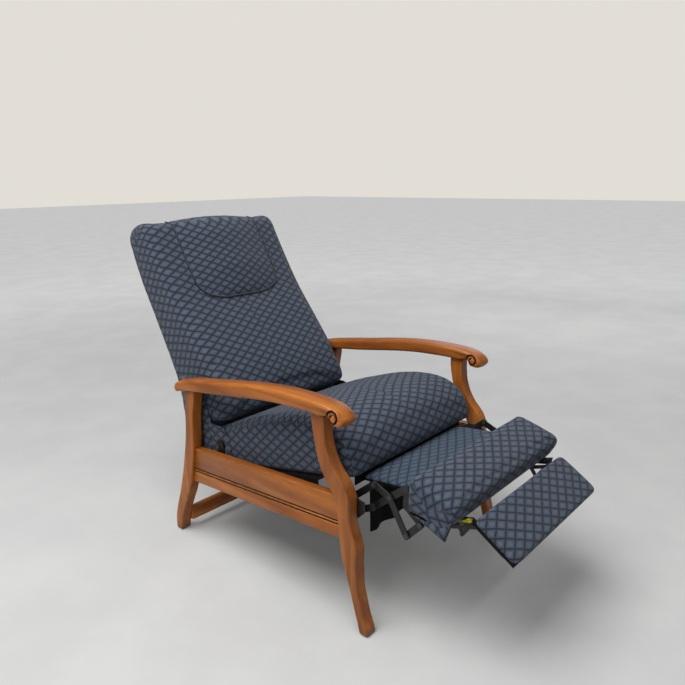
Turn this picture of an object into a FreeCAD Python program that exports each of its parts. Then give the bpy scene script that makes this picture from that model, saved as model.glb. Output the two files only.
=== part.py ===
import FreeCAD
import Part
import math
import os

# Push-back recliner with an open hardwood frame, an upholstered seat and back, and a folding legrest.
# Millimetres. X runs to the sitter's left, Y to the rear and Z up; the floor is at zero.
# Outlines in the side plane are given as (forward, up), where forward is the direction the sitter faces.
# The pose drawn is the lounging one: legrest out, back part reclined.

V = FreeCAD.Vector

# Wooden frame
LEG_SPACING = 630.0
LEG_THICKNESS = 34.0
ARM_WIDTH = 58.0
ARM_LENGTH = 681.0
ARM_RISE = 103.0
ARM_REAR = 328.0
ARM_UNDERSIDE = 489.0
FRONT_LEG_REACH = 86.0
FRONT_LEG_HEIGHT = ARM_UNDERSIDE + FRONT_LEG_REACH
FRONT_LEG_SWEEP = 175.0
FRONT_LEG_SETBACK = 110.0
FRONT_LEG_REAR = ARM_REAR + ARM_LENGTH - FRONT_LEG_SETBACK
REAR_LEG_REACH = 23.0
REAR_LEG_HEIGHT = ARM_UNDERSIDE + REAR_LEG_REACH
REAR_LEG_SWEEP = 153.0
REAR_LEG_FRONT = 418.0
ARM_EDGE_ROUND = 8.0
SCROLL_SETBACK = 30.0
SCROLL_RISE = 73.0
SCROLL_FORWARD = ARM_REAR + ARM_LENGTH - SCROLL_SETBACK
SCROLL_UP = ARM_UNDERSIDE + SCROLL_RISE
SCROLL_RADIUS = 17.0
SCROLL_GROOVE = 3.0
SCROLL_DEPTH = 2.0
SCROLL_TURNS = 3
ARC_POINT_COUNT = 3
SCROLL_STEP_SHARE = 0.28
RAIL_THICKNESS = 24.0
RAIL_REAR = 350.0
RAIL_TENON = 106.0
RAIL_FRONT = FRONT_LEG_REAR + RAIL_TENON
RAIL_REAR_BOTTOM = 196.0
RAIL_DEPTH = 112.0
RAIL_SLOPE = 3.9
BEAD_RADIUS = 2.6
BEAD_SPACING = 9.0
BEAD_HEIGHT = 36.0
STRETCHER_FORWARD = 291.0
STRETCHER_THICKNESS = 18.0
STRETCHER_HEIGHT = 46.0
STRETCHER_UP = 29.0
CROSS_RAIL_THICKNESS = 25.0
FRONT_CROSS_RAIL_FORWARD = 680.0
FRONT_CROSS_RAIL_UP = 226.0
FRONT_CROSS_RAIL_HEIGHT = 46.0
REAR_CROSS_RAIL_FORWARD = 405.0
REAR_CROSS_RAIL_UP = 206.0
REAR_CROSS_RAIL_HEIGHT = 32.0
GLIDE_RADIUS = 9.0
GLIDE_HEIGHT = 3.0

# Seat: its own axes start at the rear lower corner and run forward along the underside
SEAT_WIDTH = 560.0
SEAT_ORIGIN = (410.0, 252.0)
SEAT_SLOPE = 12.7
SEAT_LENGTH = 600.0
SEAT_HEIGHT = 146.0
SEAT_CROWNS = (4.0, 26.0)
SEAT_EDGE_ROUND = 16.0
SEAT_POCKET_DEPTH = 36.0
SEAT_POCKET_START = 30.0
SEAT_POCKET_END = 40.0
SEAT_POCKET_LENGTH = SEAT_LENGTH - SEAT_POCKET_START - SEAT_POCKET_END
POCKET_SIDE = 14.0
RAIL_STOCK = 24.0
SEAT_RAIL_HEIGHT = 30.0
POCKET_CLEARANCE = 0.3
SPRING_WIRE = 3.4
SPRING_LINES = 5
SPRING_PITCH = 92.0
SPRING_WAVES = 11
SPRING_SWAY = 26.0
SPRING_LEVEL = 20.0
DUST_COVER_THICKNESS = 1.5
ANGLE_THICKNESS = 3.0
ANGLE_START = 28.0
ANGLE_LENGTH = 440.0
ANGLE_FLANGE = 36.0
ANGLE_OUTER = 284.0
SPACER_RADIUS = 7.0
SPACER_STARTS = (60.0, 230.0, 400.0)
SPACER_DROP = 20.0

# Back: its own axes start at the upper rear corner and run down behind the sitter
BACK_WIDTH = 556.0
BACK_FOOT = (329.423, 318.637)
BACK_SLOPE = -65.2
BACK_LENGTH = 700.0
BACK_DEPTH = 170.0
BACK_CROWNS = (14.0, 3.0)
BACK_EDGE_ROUND = 16.0
BACK_CORNER_DROP = 14.0
BACK_POCKET_START = 70.0
BACK_POCKET_END = 80.0
BACK_POCKET_LENGTH = BACK_LENGTH - BACK_POCKET_START - BACK_POCKET_END
BACK_POCKET_DEPTH = 30.0
BACK_RAIL_DEPTH = 28.0
BACK_PANEL_THICKNESS = 4.0
PILLOW_WIDTH = 346.0
PILLOW_START = 34.0
PILLOW_LENGTH = 268.0
PILLOW_THICKNESS = 22.0
PILLOW_SINK = 14.0
PILLOW_CROWNS = (12.0, 12.0)
PILLOW_FACE = 84.0
PILLOW_SLOPE = -60.4
BACK_PIVOT = (470.0, 330.0)
BACK_PLATE_LAYER = 280.6
FRAME_PLATE_LAYER = 285.2
HINGE_PLATE_THICKNESS = 3.0
HINGE_PLATE_WIDTH = 26.0
HINGE_PLATE_MIDDLE = (370.0, 396.0)
HINGE_PLATE_TOP = (324.0, 470.0)
HINGE_PLATE_FOOT = (470.0, 282.0)
HINGE_BOLT_RADIUS = 4.0

# Legrest panels
PANEL_WIDTH = 540.0
PANEL_ORIGIN = (1140.0, 344.0)
PANEL_SLOPE = -10.0
PANEL_LENGTH = 135.0
PANEL_HEIGHT = 93.0
PANEL_CROWNS = (6.0, 6.0)
PANEL_EDGE_ROUND = 16.0
BOARD_THICKNESS = 10.0
BOARD_INSET = 8.0
BOARD_LENGTH = 94.0
FLIPPER_WIDTH = 450.0
FLIPPER_ORIGIN = (1291.0, 352.0)
FLIPPER_SLOPE = -33.1
FLIPPER_LENGTH = 127.0
FLIPPER_HEIGHT = 24.0
FLIPPER_BOARD = 8.0
FLIPPER_CROWNS = (3.0, 3.0)
FLIPPER_EDGE_ROUND = 8.0
FILLER_WIDTH = 446.0
FILLER_ORIGIN = (972.0, 357.0)
FILLER_SLOPE = 6.4
FILLER_LENGTH = 160.0
FILLER_HEIGHT = 14.0
FILLER_BOARD = 4.0
FILLER_CROWNS = (2.0, 2.0)
FILLER_EDGE_ROUND = 5.0
CURTAIN_WIDTH = 400.0
CURTAIN_DROP = 152.0
CURTAIN_THICKNESS = 2.0
CURTAIN_FOLD = 7.0
CURTAIN_FOLDS = 5
CURTAIN_TOP_SHARE = 0.25
CURTAIN_INSET = 12.0
CURTAIN_SEAM = 0.5
CURTAIN_LEVEL_SHARES = (0.0, 0.35, 0.7, 1.0)
FOLD_POINT_COUNT = 4

# Legrest linkage: bars lie in layers, named by the X place of their inner face
BAR_THICKNESS = 3.0
BAR_WIDTH = 18.0
PLATE_LAYER = 295.0
STAY_LAYER = 272.0
DRIVE_LAYER = 267.5
CROSS_LAYER = 263.0
LONG_LAYER = 258.5
BRACKET_LAYER = 254.0
PIN_RADIUS = 4.0
HEAD_RADIUS = 6.5
HEAD_HEIGHT = 1.0
DRIVE_HEAD_RADIUS = 5.0
STAY_PIN_RADIUS = 3.0
STAY_HEAD_RADIUS = 4.5
HEAD_GAP = 0.25
RUNNING_CLEARANCE = 0.05
OPEN_PIVOT_GAP = 0.3
STUD_SLEEVE_RADIUS = 7.0
DRIVE_BASE = (989.1, 339.3)
DRIVE_TIP = (1043.0, 384.0)
CROSS_KNEE = (1090.0, 364.0)
CROSS_TIP = (1140.0, 280.0)
LONG_TAIL = (1043.77, 325.75)
LONG_TIP = (1134.0, 400.0)
END_TIP = (1176.0, 320.0)
STAY_BASE = (961.6, 285.7)
BASE_PLATE = [(932.0, 262.0), (982.0, 262.0), (1039.0, 318.0), (1039.0, 346.0), (1005.0, 353.0),
              (972.0, 353.0), (932.0, 322.0)]
BASE_BOLTS = [(946.0, 308.0), (1020.0, 330.0)]
FLIPPER_ARM_BASE = (1220.0, 312.0)
FLIPPER_ARM_TIP = (1296.0, 338.0)
FLIPPER_ARM_LAYER = 205.0
FLIPPER_EAR_LAYER = 200.5
CONTROL_LAYER = 195.5
CONTROL_BASE = (1251.2, 298.3)
CONTROL_TIP = (1286.0, 348.0)
CONTROL_SHORTFALL = 3.5
SLIM_BAR_WIDTH = 10.0
SLIM_PIN_RADIUS = 2.5
SLIM_HEAD_RADIUS = 4.5
FILLER_HINGE = (1136.0, 372.0)
FILLER_HINGE_LAYER = 214.0
FILLER_EAR_LAYER = 218.5
EAR_WIDTH = 8.0
EAR_PIN_RADIUS = 2.0
BRACKET_CROOK = (1133.0, 352.0)
PANEL_MARGIN = 3.0
BRACKET_FOOT = 60.0
BRACKET_DROP = 12.0
BAR_STEP = 4.5
EAR_BACKSET = 8.0
FILLER_EAR_CROOK = (1136.0, 340.0)
FILLER_EAR_FOOT = (1156.0, 336.0)
RUNNER_START = 12.0
RUNNER_LENGTH = 84.0
RUNNER_DROP = 10.0

OVERRUN = 20.0
HALF_TURN = 180.0
SMALL_ROUND = 2.0
BOLT_HEAD_RADIUS = 6.0
BOLT_HEAD_HEIGHT = 2.5

RIGHT = -1
LEFT = 1
LEG_INNER = LEG_SPACING / 2 - LEG_THICKNESS / 2

nodes = {}


def at(x, forward, up):
    """Turn a place in the side plane into a point."""
    return V(x, -forward, up)


def along(origin, angle, run, rise):
    """Step from origin by run along a slope and by rise square to it."""
    turn = math.radians(angle)
    forward = origin[0] + run * math.cos(turn) - rise * math.sin(turn)
    up = origin[1] + run * math.sin(turn) + rise * math.cos(turn)
    return (forward, up)


def from_shares(shares, forward, up, length, height):
    """Lay an outline of shares over a rectangle of the side plane."""
    return [(forward + a * length, up + b * height) for a, b in shares]


def spline_edge(points, x):
    """One smooth edge through points of the side plane."""
    curve = Part.BSplineCurve()
    curve.interpolate([at(x, f, u) for f, u in points])
    return curve.toShape()


def line_edge(a, b, x):
    """One straight edge in the side plane."""
    return Part.makeLine(at(x, *a), at(x, *b))


def arc_edge(a, middle, b, x):
    """One arc through three places of the side plane."""
    return Part.Arc(at(x, *a), at(x, *middle), at(x, *b)).toShape()


def prism(edges, thickness):
    """Close side-plane edges into a face and thicken it along X."""
    face = Part.Face(Part.Wire(edges))
    return face.extrude(V(thickness, 0, 0))


def plate(points, x_low, x_high):
    """Flat plate of straight sides between two X places."""
    corners = [at(x_low, f, u) for f, u in points]
    face = Part.Face(Part.makePolygon(corners + corners[:1]))
    return face.extrude(V(x_high - x_low, 0, 0))


def round_bar(place, radius, x_low, x_high):
    """Cylinder along X."""
    return Part.makeCylinder(radius, x_high - x_low, at(x_low, *place), V(1, 0, 0))


def midpoint(a, b):
    """Place half way between two places."""
    return ((a[0] + b[0]) / 2, (a[1] + b[1]) / 2)


def slope_between(a, b):
    """Angle in degrees from a to b in the side plane."""
    return math.degrees(math.atan2(b[1] - a[1], b[0] - a[0]))


def distance(a, b):
    """Length from a to b in the side plane."""
    return math.hypot(b[0] - a[0], b[1] - a[1])


def flat_bar(pivots, width, x_low, x_high):
    """Flat bar with round ends that runs through its pivots in order."""
    half = width / 2
    shape = round_bar(pivots[0], half, x_low, x_high)
    for start, end in zip(pivots, pivots[1:]):
        angle = slope_between(start, end)
        run = distance(start, end)
        corners = [along(start, angle, 0, -half), along(start, angle, run, -half),
                   along(start, angle, run, half), along(start, angle, 0, half)]
        shape = shape.fuse(plate(corners, x_low, x_high))
        shape = shape.fuse(round_bar(end, half, x_low, x_high))
    return shape.removeSplitter()


def drilled(shape, places, radius, x_low, x_high):
    """Bore holes along X."""
    for place in places:
        shape = shape.cut(round_bar(place, radius, x_low - OVERRUN, x_high + OVERRUN))
    return shape


def other_side(shape):
    """Mirror image across the middle of the chair."""
    return shape.mirror(V(0, 0, 0), V(1, 0, 0))


def add_pair(name, left_shape):
    """Keep a left piece and its mirror image as two nodes."""
    nodes["left_" + name] = left_shape
    nodes["right_" + name] = other_side(left_shape)


def add_group(name, shapes):
    """Keep like pieces of both sides in one node."""
    nodes[name] = Part.makeCompound(shapes + [other_side(shape) for shape in shapes])


def across(points, half_width):
    """Flat plate that runs from side to side."""
    return plate(points, -half_width, half_width)


# Armrest: crowned bar that rises to the front and ends in a scroll
ARM_TOP_SHARES = [(0.0, 0.107), (0.01, 0.262), (0.044, 0.359), (0.15, 0.495), (0.282, 0.631),
                  (0.458, 0.816), (0.62, 0.951), (0.752, 1.0), (0.855, 0.995), (0.921, 0.961),
                  (0.965, 0.883), (0.991, 0.757), (1.0, 0.63), (0.993, 0.54), (0.978, 0.505),
                  (0.957, 0.52)]
ARM_UNDER_SHARES = [(0.957, 0.52), (0.939, 0.602), (0.929, 0.7), (0.915, 0.69), (0.897, 0.655),
                    (0.852, 0.655), (0.767, 0.652), (0.668, 0.621), (0.464, 0.461), (0.267, 0.267),
                    (0.043, 0.049), (0.013, 0.0)]
ARM_SECTION_SHARES = [(-1.0, 1.0), (-0.955, 0.48), (-0.86, 0.17), (-0.7, 0.0), (0.7, 0.0), (0.86, 0.17),
                      (0.955, 0.48), (1.0, 1.0)]


def drawn_in(points, amount):
    """Closed outline moved inwards by an amount, square to its own run."""
    count = len(points)
    moved = []
    for index, (f, u) in enumerate(points):
        before = points[index - 1]
        after = points[(index + 1) % count]
        span = distance(before, after)
        slide = amount / span
        moved.append((f + slide * (after[1] - before[1]), u - slide * (after[0] - before[0])))
    return moved


def fitted_edge(points, parameters, x):
    """Smooth edge whose parameters stay alike from section to section."""
    curve = Part.BSplineCurve()
    curve.interpolate(Points=[at(x, f, u) for f, u in points], Parameters=parameters)
    return curve.toShape()


def armrest():
    """Left armrest lofted across its width with rounded long edges and a spiral cut in both faces."""
    top = from_shares(ARM_TOP_SHARES, ARM_REAR, ARM_UNDERSIDE, ARM_LENGTH, ARM_RISE)
    under = from_shares(ARM_UNDER_SHARES, ARM_REAR, ARM_UNDERSIDE, ARM_LENGTH, ARM_RISE)
    count = len(top)
    wires = []
    for across_share, inset_share in ARM_SECTION_SHARES:
        x = LEG_SPACING / 2 + across_share * ARM_WIDTH / 2
        outline = drawn_in(top + under[1:], inset_share * ARM_EDGE_ROUND)
        upper = outline[:count]
        lower = outline[count - 1:]
        wires.append(Part.Wire([fitted_edge(upper, chord_parameters(top), x),
                                fitted_edge(lower, chord_parameters(under), x),
                                line_edge(lower[-1], upper[0], x)]))
    body = Part.makeLoft(wires, True, False)
    for face in (-ARM_WIDTH / 2, ARM_WIDTH / 2):
        body = body.cut(scroll_groove(LEG_SPACING / 2 + face))
    return body


def scroll_groove(x):
    """Incised spiral band of half rings that shrink towards the scroll's centre."""
    centre = (SCROLL_FORWARD, SCROLL_UP)
    radius = SCROLL_RADIUS
    low = x - SCROLL_DEPTH
    edges = []
    ends = []
    for turn in range(SCROLL_TURNS):
        begin = HALF_TURN * (1 - turn)
        for reach in (radius + SCROLL_GROOVE / 2, radius - SCROLL_GROOVE / 2):
            places = [along(centre, begin - HALF_TURN * step / 2, reach, 0)
                      for step in range(ARC_POINT_COUNT)]
            edges.append(arc_edge(*places, low))
            ends.append((places[0], places[-1]))
        step = radius * SCROLL_STEP_SHARE
        centre = along(centre, begin - HALF_TURN, step, 0)
        radius = radius - step
    edges.append(line_edge(ends[0][0], ends[1][0], low))
    edges.append(line_edge(ends[-2][1], ends[-1][1], low))
    return prism(Part.__sortEdges__(edges), 2 * SCROLL_DEPTH)


# Legs: sabre-shaped, rear edge and front edge listed from the top down
FRONT_LEG_REAR_SHARES = [(0.0, 1.0), (0.0, 0.915), (0.046, 0.84), (0.109, 0.76), (0.19, 0.705),
                         (0.389, 0.615), (0.47, 0.52), (0.497, 0.424), (0.549, 0.327), (0.663, 0.216),
                         (0.743, 0.127), (0.817, 0.052), (0.86, 0.0)]
FRONT_LEG_FRONT_SHARES = [(1.0, 0.0), (0.99, 0.032), (0.92, 0.09), (0.863, 0.155), (0.817, 0.212),
                          (0.806, 0.275), (0.8, 0.33), (0.811, 0.37), (0.805, 0.405), (0.76, 0.445),
                          (0.697, 0.503), (0.672, 0.56), (0.669, 0.625), (0.589, 0.68), (0.463, 0.722),
                          (0.314, 0.793), (0.255, 0.85), (0.235, 0.92), (0.23, 1.0)]
REAR_LEG_REAR_SHARES = [(0.353, 1.0), (0.355, 0.9), (0.375, 0.807), (0.438, 0.65), (0.542, 0.51),
                        (0.667, 0.371), (0.837, 0.223), (1.0, 0.047), (0.985, 0.0)]
REAR_LEG_FRONT_SHARES = [(0.81, 0.0), (0.614, 0.201), (0.373, 0.355), (0.235, 0.537), (0.17, 0.672),
                         (0.131, 0.826), (0.06, 0.93), (0.04, 1.0)]


def leg_blank(rear_shares, front_shares, forward, sweep, height):
    """Left leg before it is fitted under the armrest."""
    inner = LEG_SPACING / 2 - LEG_THICKNESS / 2
    rear = from_shares(rear_shares, forward, 0, sweep, height)
    front = from_shares(front_shares, forward, 0, sweep, height)
    edges = [spline_edge(rear, inner), line_edge(rear[-1], front[0], inner),
             spline_edge(front, inner), line_edge(front[-1], rear[0], inner)]
    return prism(edges, LEG_THICKNESS)


def floor_slice(leg):
    """Layer as high as a glide under the whole of a leg."""
    box = leg.BoundBox
    return Part.makeBox(box.XLength, box.YLength, GLIDE_HEIGHT, V(box.XMin, box.YMin, 0))


def glide(leg):
    """Round glide under a foot, with the foot cut back by its height."""
    foot = leg.common(floor_slice(leg)).BoundBox
    return Part.makeCylinder(GLIDE_RADIUS, GLIDE_HEIGHT, V(LEG_SPACING / 2, foot.Center.y, 0))


def raised_foot(leg):
    """Leg cut off above its glide."""
    return leg.cut(floor_slice(leg))


def rail_corner(forward, rise):
    """Place on the side rail at a forward place, rise above its lower edge."""
    up = RAIL_REAR_BOTTOM + (forward - RAIL_REAR) * math.tan(math.radians(RAIL_SLOPE)) + rise
    return (forward, up)


def side_rail():
    """Left side rail with two grooves that leave a bead between them."""
    points = [rail_corner(RAIL_REAR, 0), rail_corner(RAIL_FRONT, 0),
              rail_corner(RAIL_FRONT, RAIL_DEPTH), rail_corner(RAIL_REAR, RAIL_DEPTH)]
    outer = LEG_INNER + RAIL_THICKNESS
    rail = plate(points, LEG_INNER, outer)
    for rise in (BEAD_HEIGHT, BEAD_HEIGHT + BEAD_SPACING):
        start = at(outer, *rail_corner(RAIL_REAR - OVERRUN, rise))
        end = at(outer, *rail_corner(RAIL_FRONT + OVERRUN, rise))
        groove = Part.makeCylinder(BEAD_RADIUS, (end - start).Length, start, end - start)
        rail = rail.cut(groove)
    return rail


def between_legs(rail):
    """Longest length of a cut rail, without the ends that would stand out past the legs."""
    return max(rail.Solids, key=lambda solid: solid.BoundBox.YLength)


def cross_rail(forward, up, height, half_length):
    """Hidden rail between the two side rails."""
    points = [(forward, up), (forward + CROSS_RAIL_THICKNESS, up),
              (forward + CROSS_RAIL_THICKNESS, up + height), (forward, up + height)]
    return across(points, half_length)


def build_frame():
    """Legs, armrests, rails and glides."""
    arm = armrest()
    front_leg = leg_blank(FRONT_LEG_REAR_SHARES, FRONT_LEG_FRONT_SHARES, FRONT_LEG_REAR,
                          FRONT_LEG_SWEEP, FRONT_LEG_HEIGHT)
    rear_leg = leg_blank(REAR_LEG_REAR_SHARES, REAR_LEG_FRONT_SHARES, REAR_LEG_FRONT,
                         -REAR_LEG_SWEEP, REAR_LEG_HEIGHT)
    glides = [glide(front_leg), glide(rear_leg)]
    front_leg = raised_foot(front_leg).cut(arm)
    rear_leg = raised_foot(rear_leg).cut(arm)
    rail = between_legs(side_rail().cut(front_leg).cut(rear_leg))
    add_pair("armrest", arm)
    add_pair("front_leg", front_leg)
    add_pair("rear_leg", rear_leg)
    add_pair("side_rail", rail)
    add_group("foot_glides", glides)
    half_gap = LEG_SPACING / 2 - LEG_THICKNESS / 2
    stretcher = [(STRETCHER_FORWARD, STRETCHER_UP), (STRETCHER_FORWARD + STRETCHER_THICKNESS, STRETCHER_UP),
                 (STRETCHER_FORWARD + STRETCHER_THICKNESS, STRETCHER_UP + STRETCHER_HEIGHT),
                 (STRETCHER_FORWARD, STRETCHER_UP + STRETCHER_HEIGHT)]
    nodes["rear_stretcher"] = across(stretcher, half_gap)
    nodes["front_cross_rail"] = cross_rail(FRONT_CROSS_RAIL_FORWARD, FRONT_CROSS_RAIL_UP,
                                           FRONT_CROSS_RAIL_HEIGHT, LEG_INNER)
    nodes["rear_cross_rail"] = cross_rail(REAR_CROSS_RAIL_FORWARD, REAR_CROSS_RAIL_UP,
                                          REAR_CROSS_RAIL_HEIGHT, LEG_INNER)


BACK_ORIGIN = along(BACK_FOOT, BACK_SLOPE, -BACK_LENGTH, 0)

# Cushions: side outlines as shares of length and height, from the front lower corner over the top
SEAT_SHARES = [(0.992, 0.0), (1.0, 0.1), (0.999, 0.26), (0.985, 0.44), (0.952, 0.62), (0.905, 0.76),
               (0.84, 0.862), (0.76, 0.925), (0.68, 0.955), (0.56, 0.952), (0.36, 0.885),
               (0.18, 0.772), (0.09, 0.708), (0.05, 0.67), (0.036, 0.6), (0.011, 0.327), (0.0, 0.0)]
BACK_SHARES = [(0.932, -0.226), (0.967, -0.161), (0.983, 0.036), (0.986, 0.289), (0.977, 0.546),
               (0.963, 0.742), (0.97, 0.89), (0.967, 0.96), (0.939, 0.999), (0.873, 1.007),
               (0.768, 0.965), (0.61, 0.81), (0.42, 0.62), (0.26, 0.53), (0.118, 0.478),
               (0.05, 0.45), (0.014, 0.38), (-0.002, 0.23), (0.0, 0.04), (0.03, -0.08), (0.11, -0.14),
               (0.258, -0.15), (0.468, -0.085), (0.66, -0.035), (0.76, -0.045), (0.86, -0.148)]
BACK_PANEL_SHARES = [(0.105, -0.115), (0.258, -0.13), (0.468, -0.068), (0.66, -0.0285), (0.76, -0.037),
                     (0.88, -0.12)]
PANEL_SHARES = [(0.815, 0.11), (0.86, 0.3), (0.93, 0.56), (0.955, 0.7), (0.935, 0.79), (0.86, 0.85),
                (0.65, 0.905), (0.35, 0.95), (0.08, 0.98), (0.0, 0.965), (-0.035, 0.88), (-0.02, 0.6),
                (0.0, 0.3), (0.02, 0.11)]
FLIPPER_SHARES = [(0.985, 0.34), (1.0, 0.55), (0.985, 0.8), (0.93, 0.96), (0.5, 1.0), (0.08, 0.96),
                  (0.012, 0.8), (0.0, 0.55), (0.015, 0.34)]
FILLER_SHARES = [(0.99, 0.3), (1.0, 0.55), (0.98, 0.85), (0.9, 0.98), (0.5, 1.0), (0.1, 0.98),
                 (0.02, 0.85), (0.0, 0.55), (0.01, 0.3)]
# Half width, draw-in and crown of each cross-section from the middle out
SECTION_SHARES = [(0.0, 0.0, 1.0), (0.35, 0.0, 0.96), (0.66, 0.0, 0.84), (0.85, 0.0, 0.7),
                  (0.93, 0.06, 0.58), (0.975, 0.34, 0.42), (1.0, 0.9, 0.14)]
PILLOW_SHARES = [(1.0, 0.0), (1.0, 0.35), (0.985, 0.62), (0.93, 0.85), (0.8, 0.97), (0.5, 1.0),
                 (0.2, 0.97), (0.07, 0.85), (0.015, 0.62), (0.0, 0.35), (0.0, 0.0)]


def chord_parameters(points):
    """Running length along an outline, scaled to end at one."""
    total = [0.0]
    for a, b in zip(points, points[1:]):
        total.append(total[-1] + distance(a, b))
    return [value / total[-1] for value in total]


def section_wire(points, parameters, x):
    """Closed wire of one smooth edge and the straight edge that closes it."""
    curve = Part.BSplineCurve()
    curve.interpolate(Points=[at(x, f, u) for f, u in points], Parameters=parameters)
    closing = line_edge(points[-1], points[0], x)
    return Part.Wire([curve.toShape(), closing])


def cushion(shares, origin, angle, length, height, half_width, edge_round, crowns, drop=0.0):
    """Pad lofted across X from drawn-in side outlines, with a crown named for its start and end."""
    base = [(a * length, b * height) for a, b in shares]
    parameters = chord_parameters(base)
    low = min(b for a, b in base)
    high = max(b for a, b in base)
    middle = length / 2
    wires = []
    mirrored = [(-w, inset, swell) for w, inset, swell in reversed(SECTION_SHARES[1:])]
    for w, inset, swell in mirrored + SECTION_SHARES:
        draw = inset * edge_round
        points = []
        for run, rise in base:
            lift = (rise - low) / (high - low)
            corner = max(0.0, (middle - run) / middle) * drop * inset
            shrunk = middle + (run - middle) * (middle - draw) / middle + corner
            crown = crowns[0] + (crowns[1] - crowns[0]) * run / length
            raised = rise - lift * draw + lift * swell * crown
            points.append(along(origin, angle, shrunk, raised))
        wires.append(section_wire(points, parameters, w * half_width))
    return Part.makeLoft(wires, True, False)


def slab(origin, angle, run, length, rise, thickness, x_low, x_high):
    """Block in a sloping frame."""
    corners = [along(origin, angle, run, rise), along(origin, angle, run + length, rise),
               along(origin, angle, run + length, rise + thickness),
               along(origin, angle, run, rise + thickness)]
    return plate(corners, x_low, x_high)


def ring_of_rails(origin, angle, run, length, rise, height, half_width):
    """Two long rails with two end rails between them."""
    inner = half_width - RAIL_STOCK
    long_rail = slab(origin, angle, run, length, rise, height, inner, half_width)
    first = slab(origin, angle, run, RAIL_STOCK, rise, height, -inner, inner)
    last = slab(origin, angle, run + length - RAIL_STOCK, RAIL_STOCK, rise, height, -inner, inner)
    return Part.makeCompound([long_rail, other_side(long_rail), first, last])


def sinuous_spring(x, start, length):
    """Zigzag wire with round turns, laid in the plane of the seat."""
    step = length / SPRING_WAVES
    points = []
    for index in range(SPRING_WAVES + 1):
        side = SPRING_SWAY / 2 if index % 2 else -SPRING_SWAY / 2
        f, u = along(SEAT_ORIGIN, SEAT_SLOPE, start + index * step, SPRING_LEVEL)
        points.append(at(x + side, f, u))
    curve = Part.BSplineCurve()
    curve.interpolate(points)
    path = Part.Wire([curve.toShape()])
    circle = Part.Wire([Part.Circle(points[0], curve.tangent(curve.FirstParameter)[0],
                                    SPRING_WIRE / 2).toShape()])
    return path.makePipeShell([circle], True, False)


def build_seat():
    """Seat cushion over its sprung inner frame, and the angles that carry it."""
    half = SEAT_WIDTH / 2
    body = cushion(SEAT_SHARES, SEAT_ORIGIN, SEAT_SLOPE, SEAT_LENGTH, SEAT_HEIGHT, half,
                   SEAT_EDGE_ROUND, SEAT_CROWNS)
    pocket_half = half - POCKET_SIDE
    pocket = slab(SEAT_ORIGIN, SEAT_SLOPE, SEAT_POCKET_START, SEAT_POCKET_LENGTH, -OVERRUN,
                  SEAT_POCKET_DEPTH + OVERRUN, -pocket_half, pocket_half)
    nodes["seat_cushion"] = body.cut(pocket)
    ring_start = SEAT_POCKET_START + POCKET_CLEARANCE
    ring_length = SEAT_POCKET_LENGTH - 2 * POCKET_CLEARANCE
    nodes["seat_frame_rails"] = ring_of_rails(SEAT_ORIGIN, SEAT_SLOPE, ring_start, ring_length,
                                              DUST_COVER_THICKNESS, SEAT_RAIL_HEIGHT,
                                              pocket_half - POCKET_CLEARANCE)
    nodes["dust_cover"] = slab(SEAT_ORIGIN, SEAT_SLOPE, ring_start, ring_length, 0,
                               DUST_COVER_THICKNESS, POCKET_CLEARANCE - pocket_half,
                               pocket_half - POCKET_CLEARANCE)
    spring_start = ring_start + RAIL_STOCK + SPRING_WIRE / 2
    spring_length = ring_length - 2 * RAIL_STOCK - SPRING_WIRE
    first = -SPRING_PITCH * (SPRING_LINES - 1) / 2
    springs = [sinuous_spring(first + index * SPRING_PITCH, spring_start, spring_length)
               for index in range(SPRING_LINES)]
    nodes["seat_springs"] = Part.makeCompound(springs)
    web = slab(SEAT_ORIGIN, SEAT_SLOPE, ANGLE_START, ANGLE_LENGTH, -ANGLE_THICKNESS, ANGLE_THICKNESS,
               ANGLE_OUTER - ANGLE_FLANGE, ANGLE_OUTER)
    wing = slab(SEAT_ORIGIN, SEAT_SLOPE, ANGLE_START, ANGLE_LENGTH, -ANGLE_FLANGE, ANGLE_FLANGE,
                ANGLE_OUTER - ANGLE_THICKNESS, ANGLE_OUTER)
    add_pair("seat_angle", web.fuse(wing).removeSplitter())
    spacers = []
    for start in SPACER_STARTS:
        place = along(SEAT_ORIGIN, SEAT_SLOPE, start, -SPACER_DROP)
        spacers.append(round_bar(place, SPACER_RADIUS, ANGLE_OUTER, LEG_INNER))
    add_group("seat_spacers", spacers)


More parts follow.
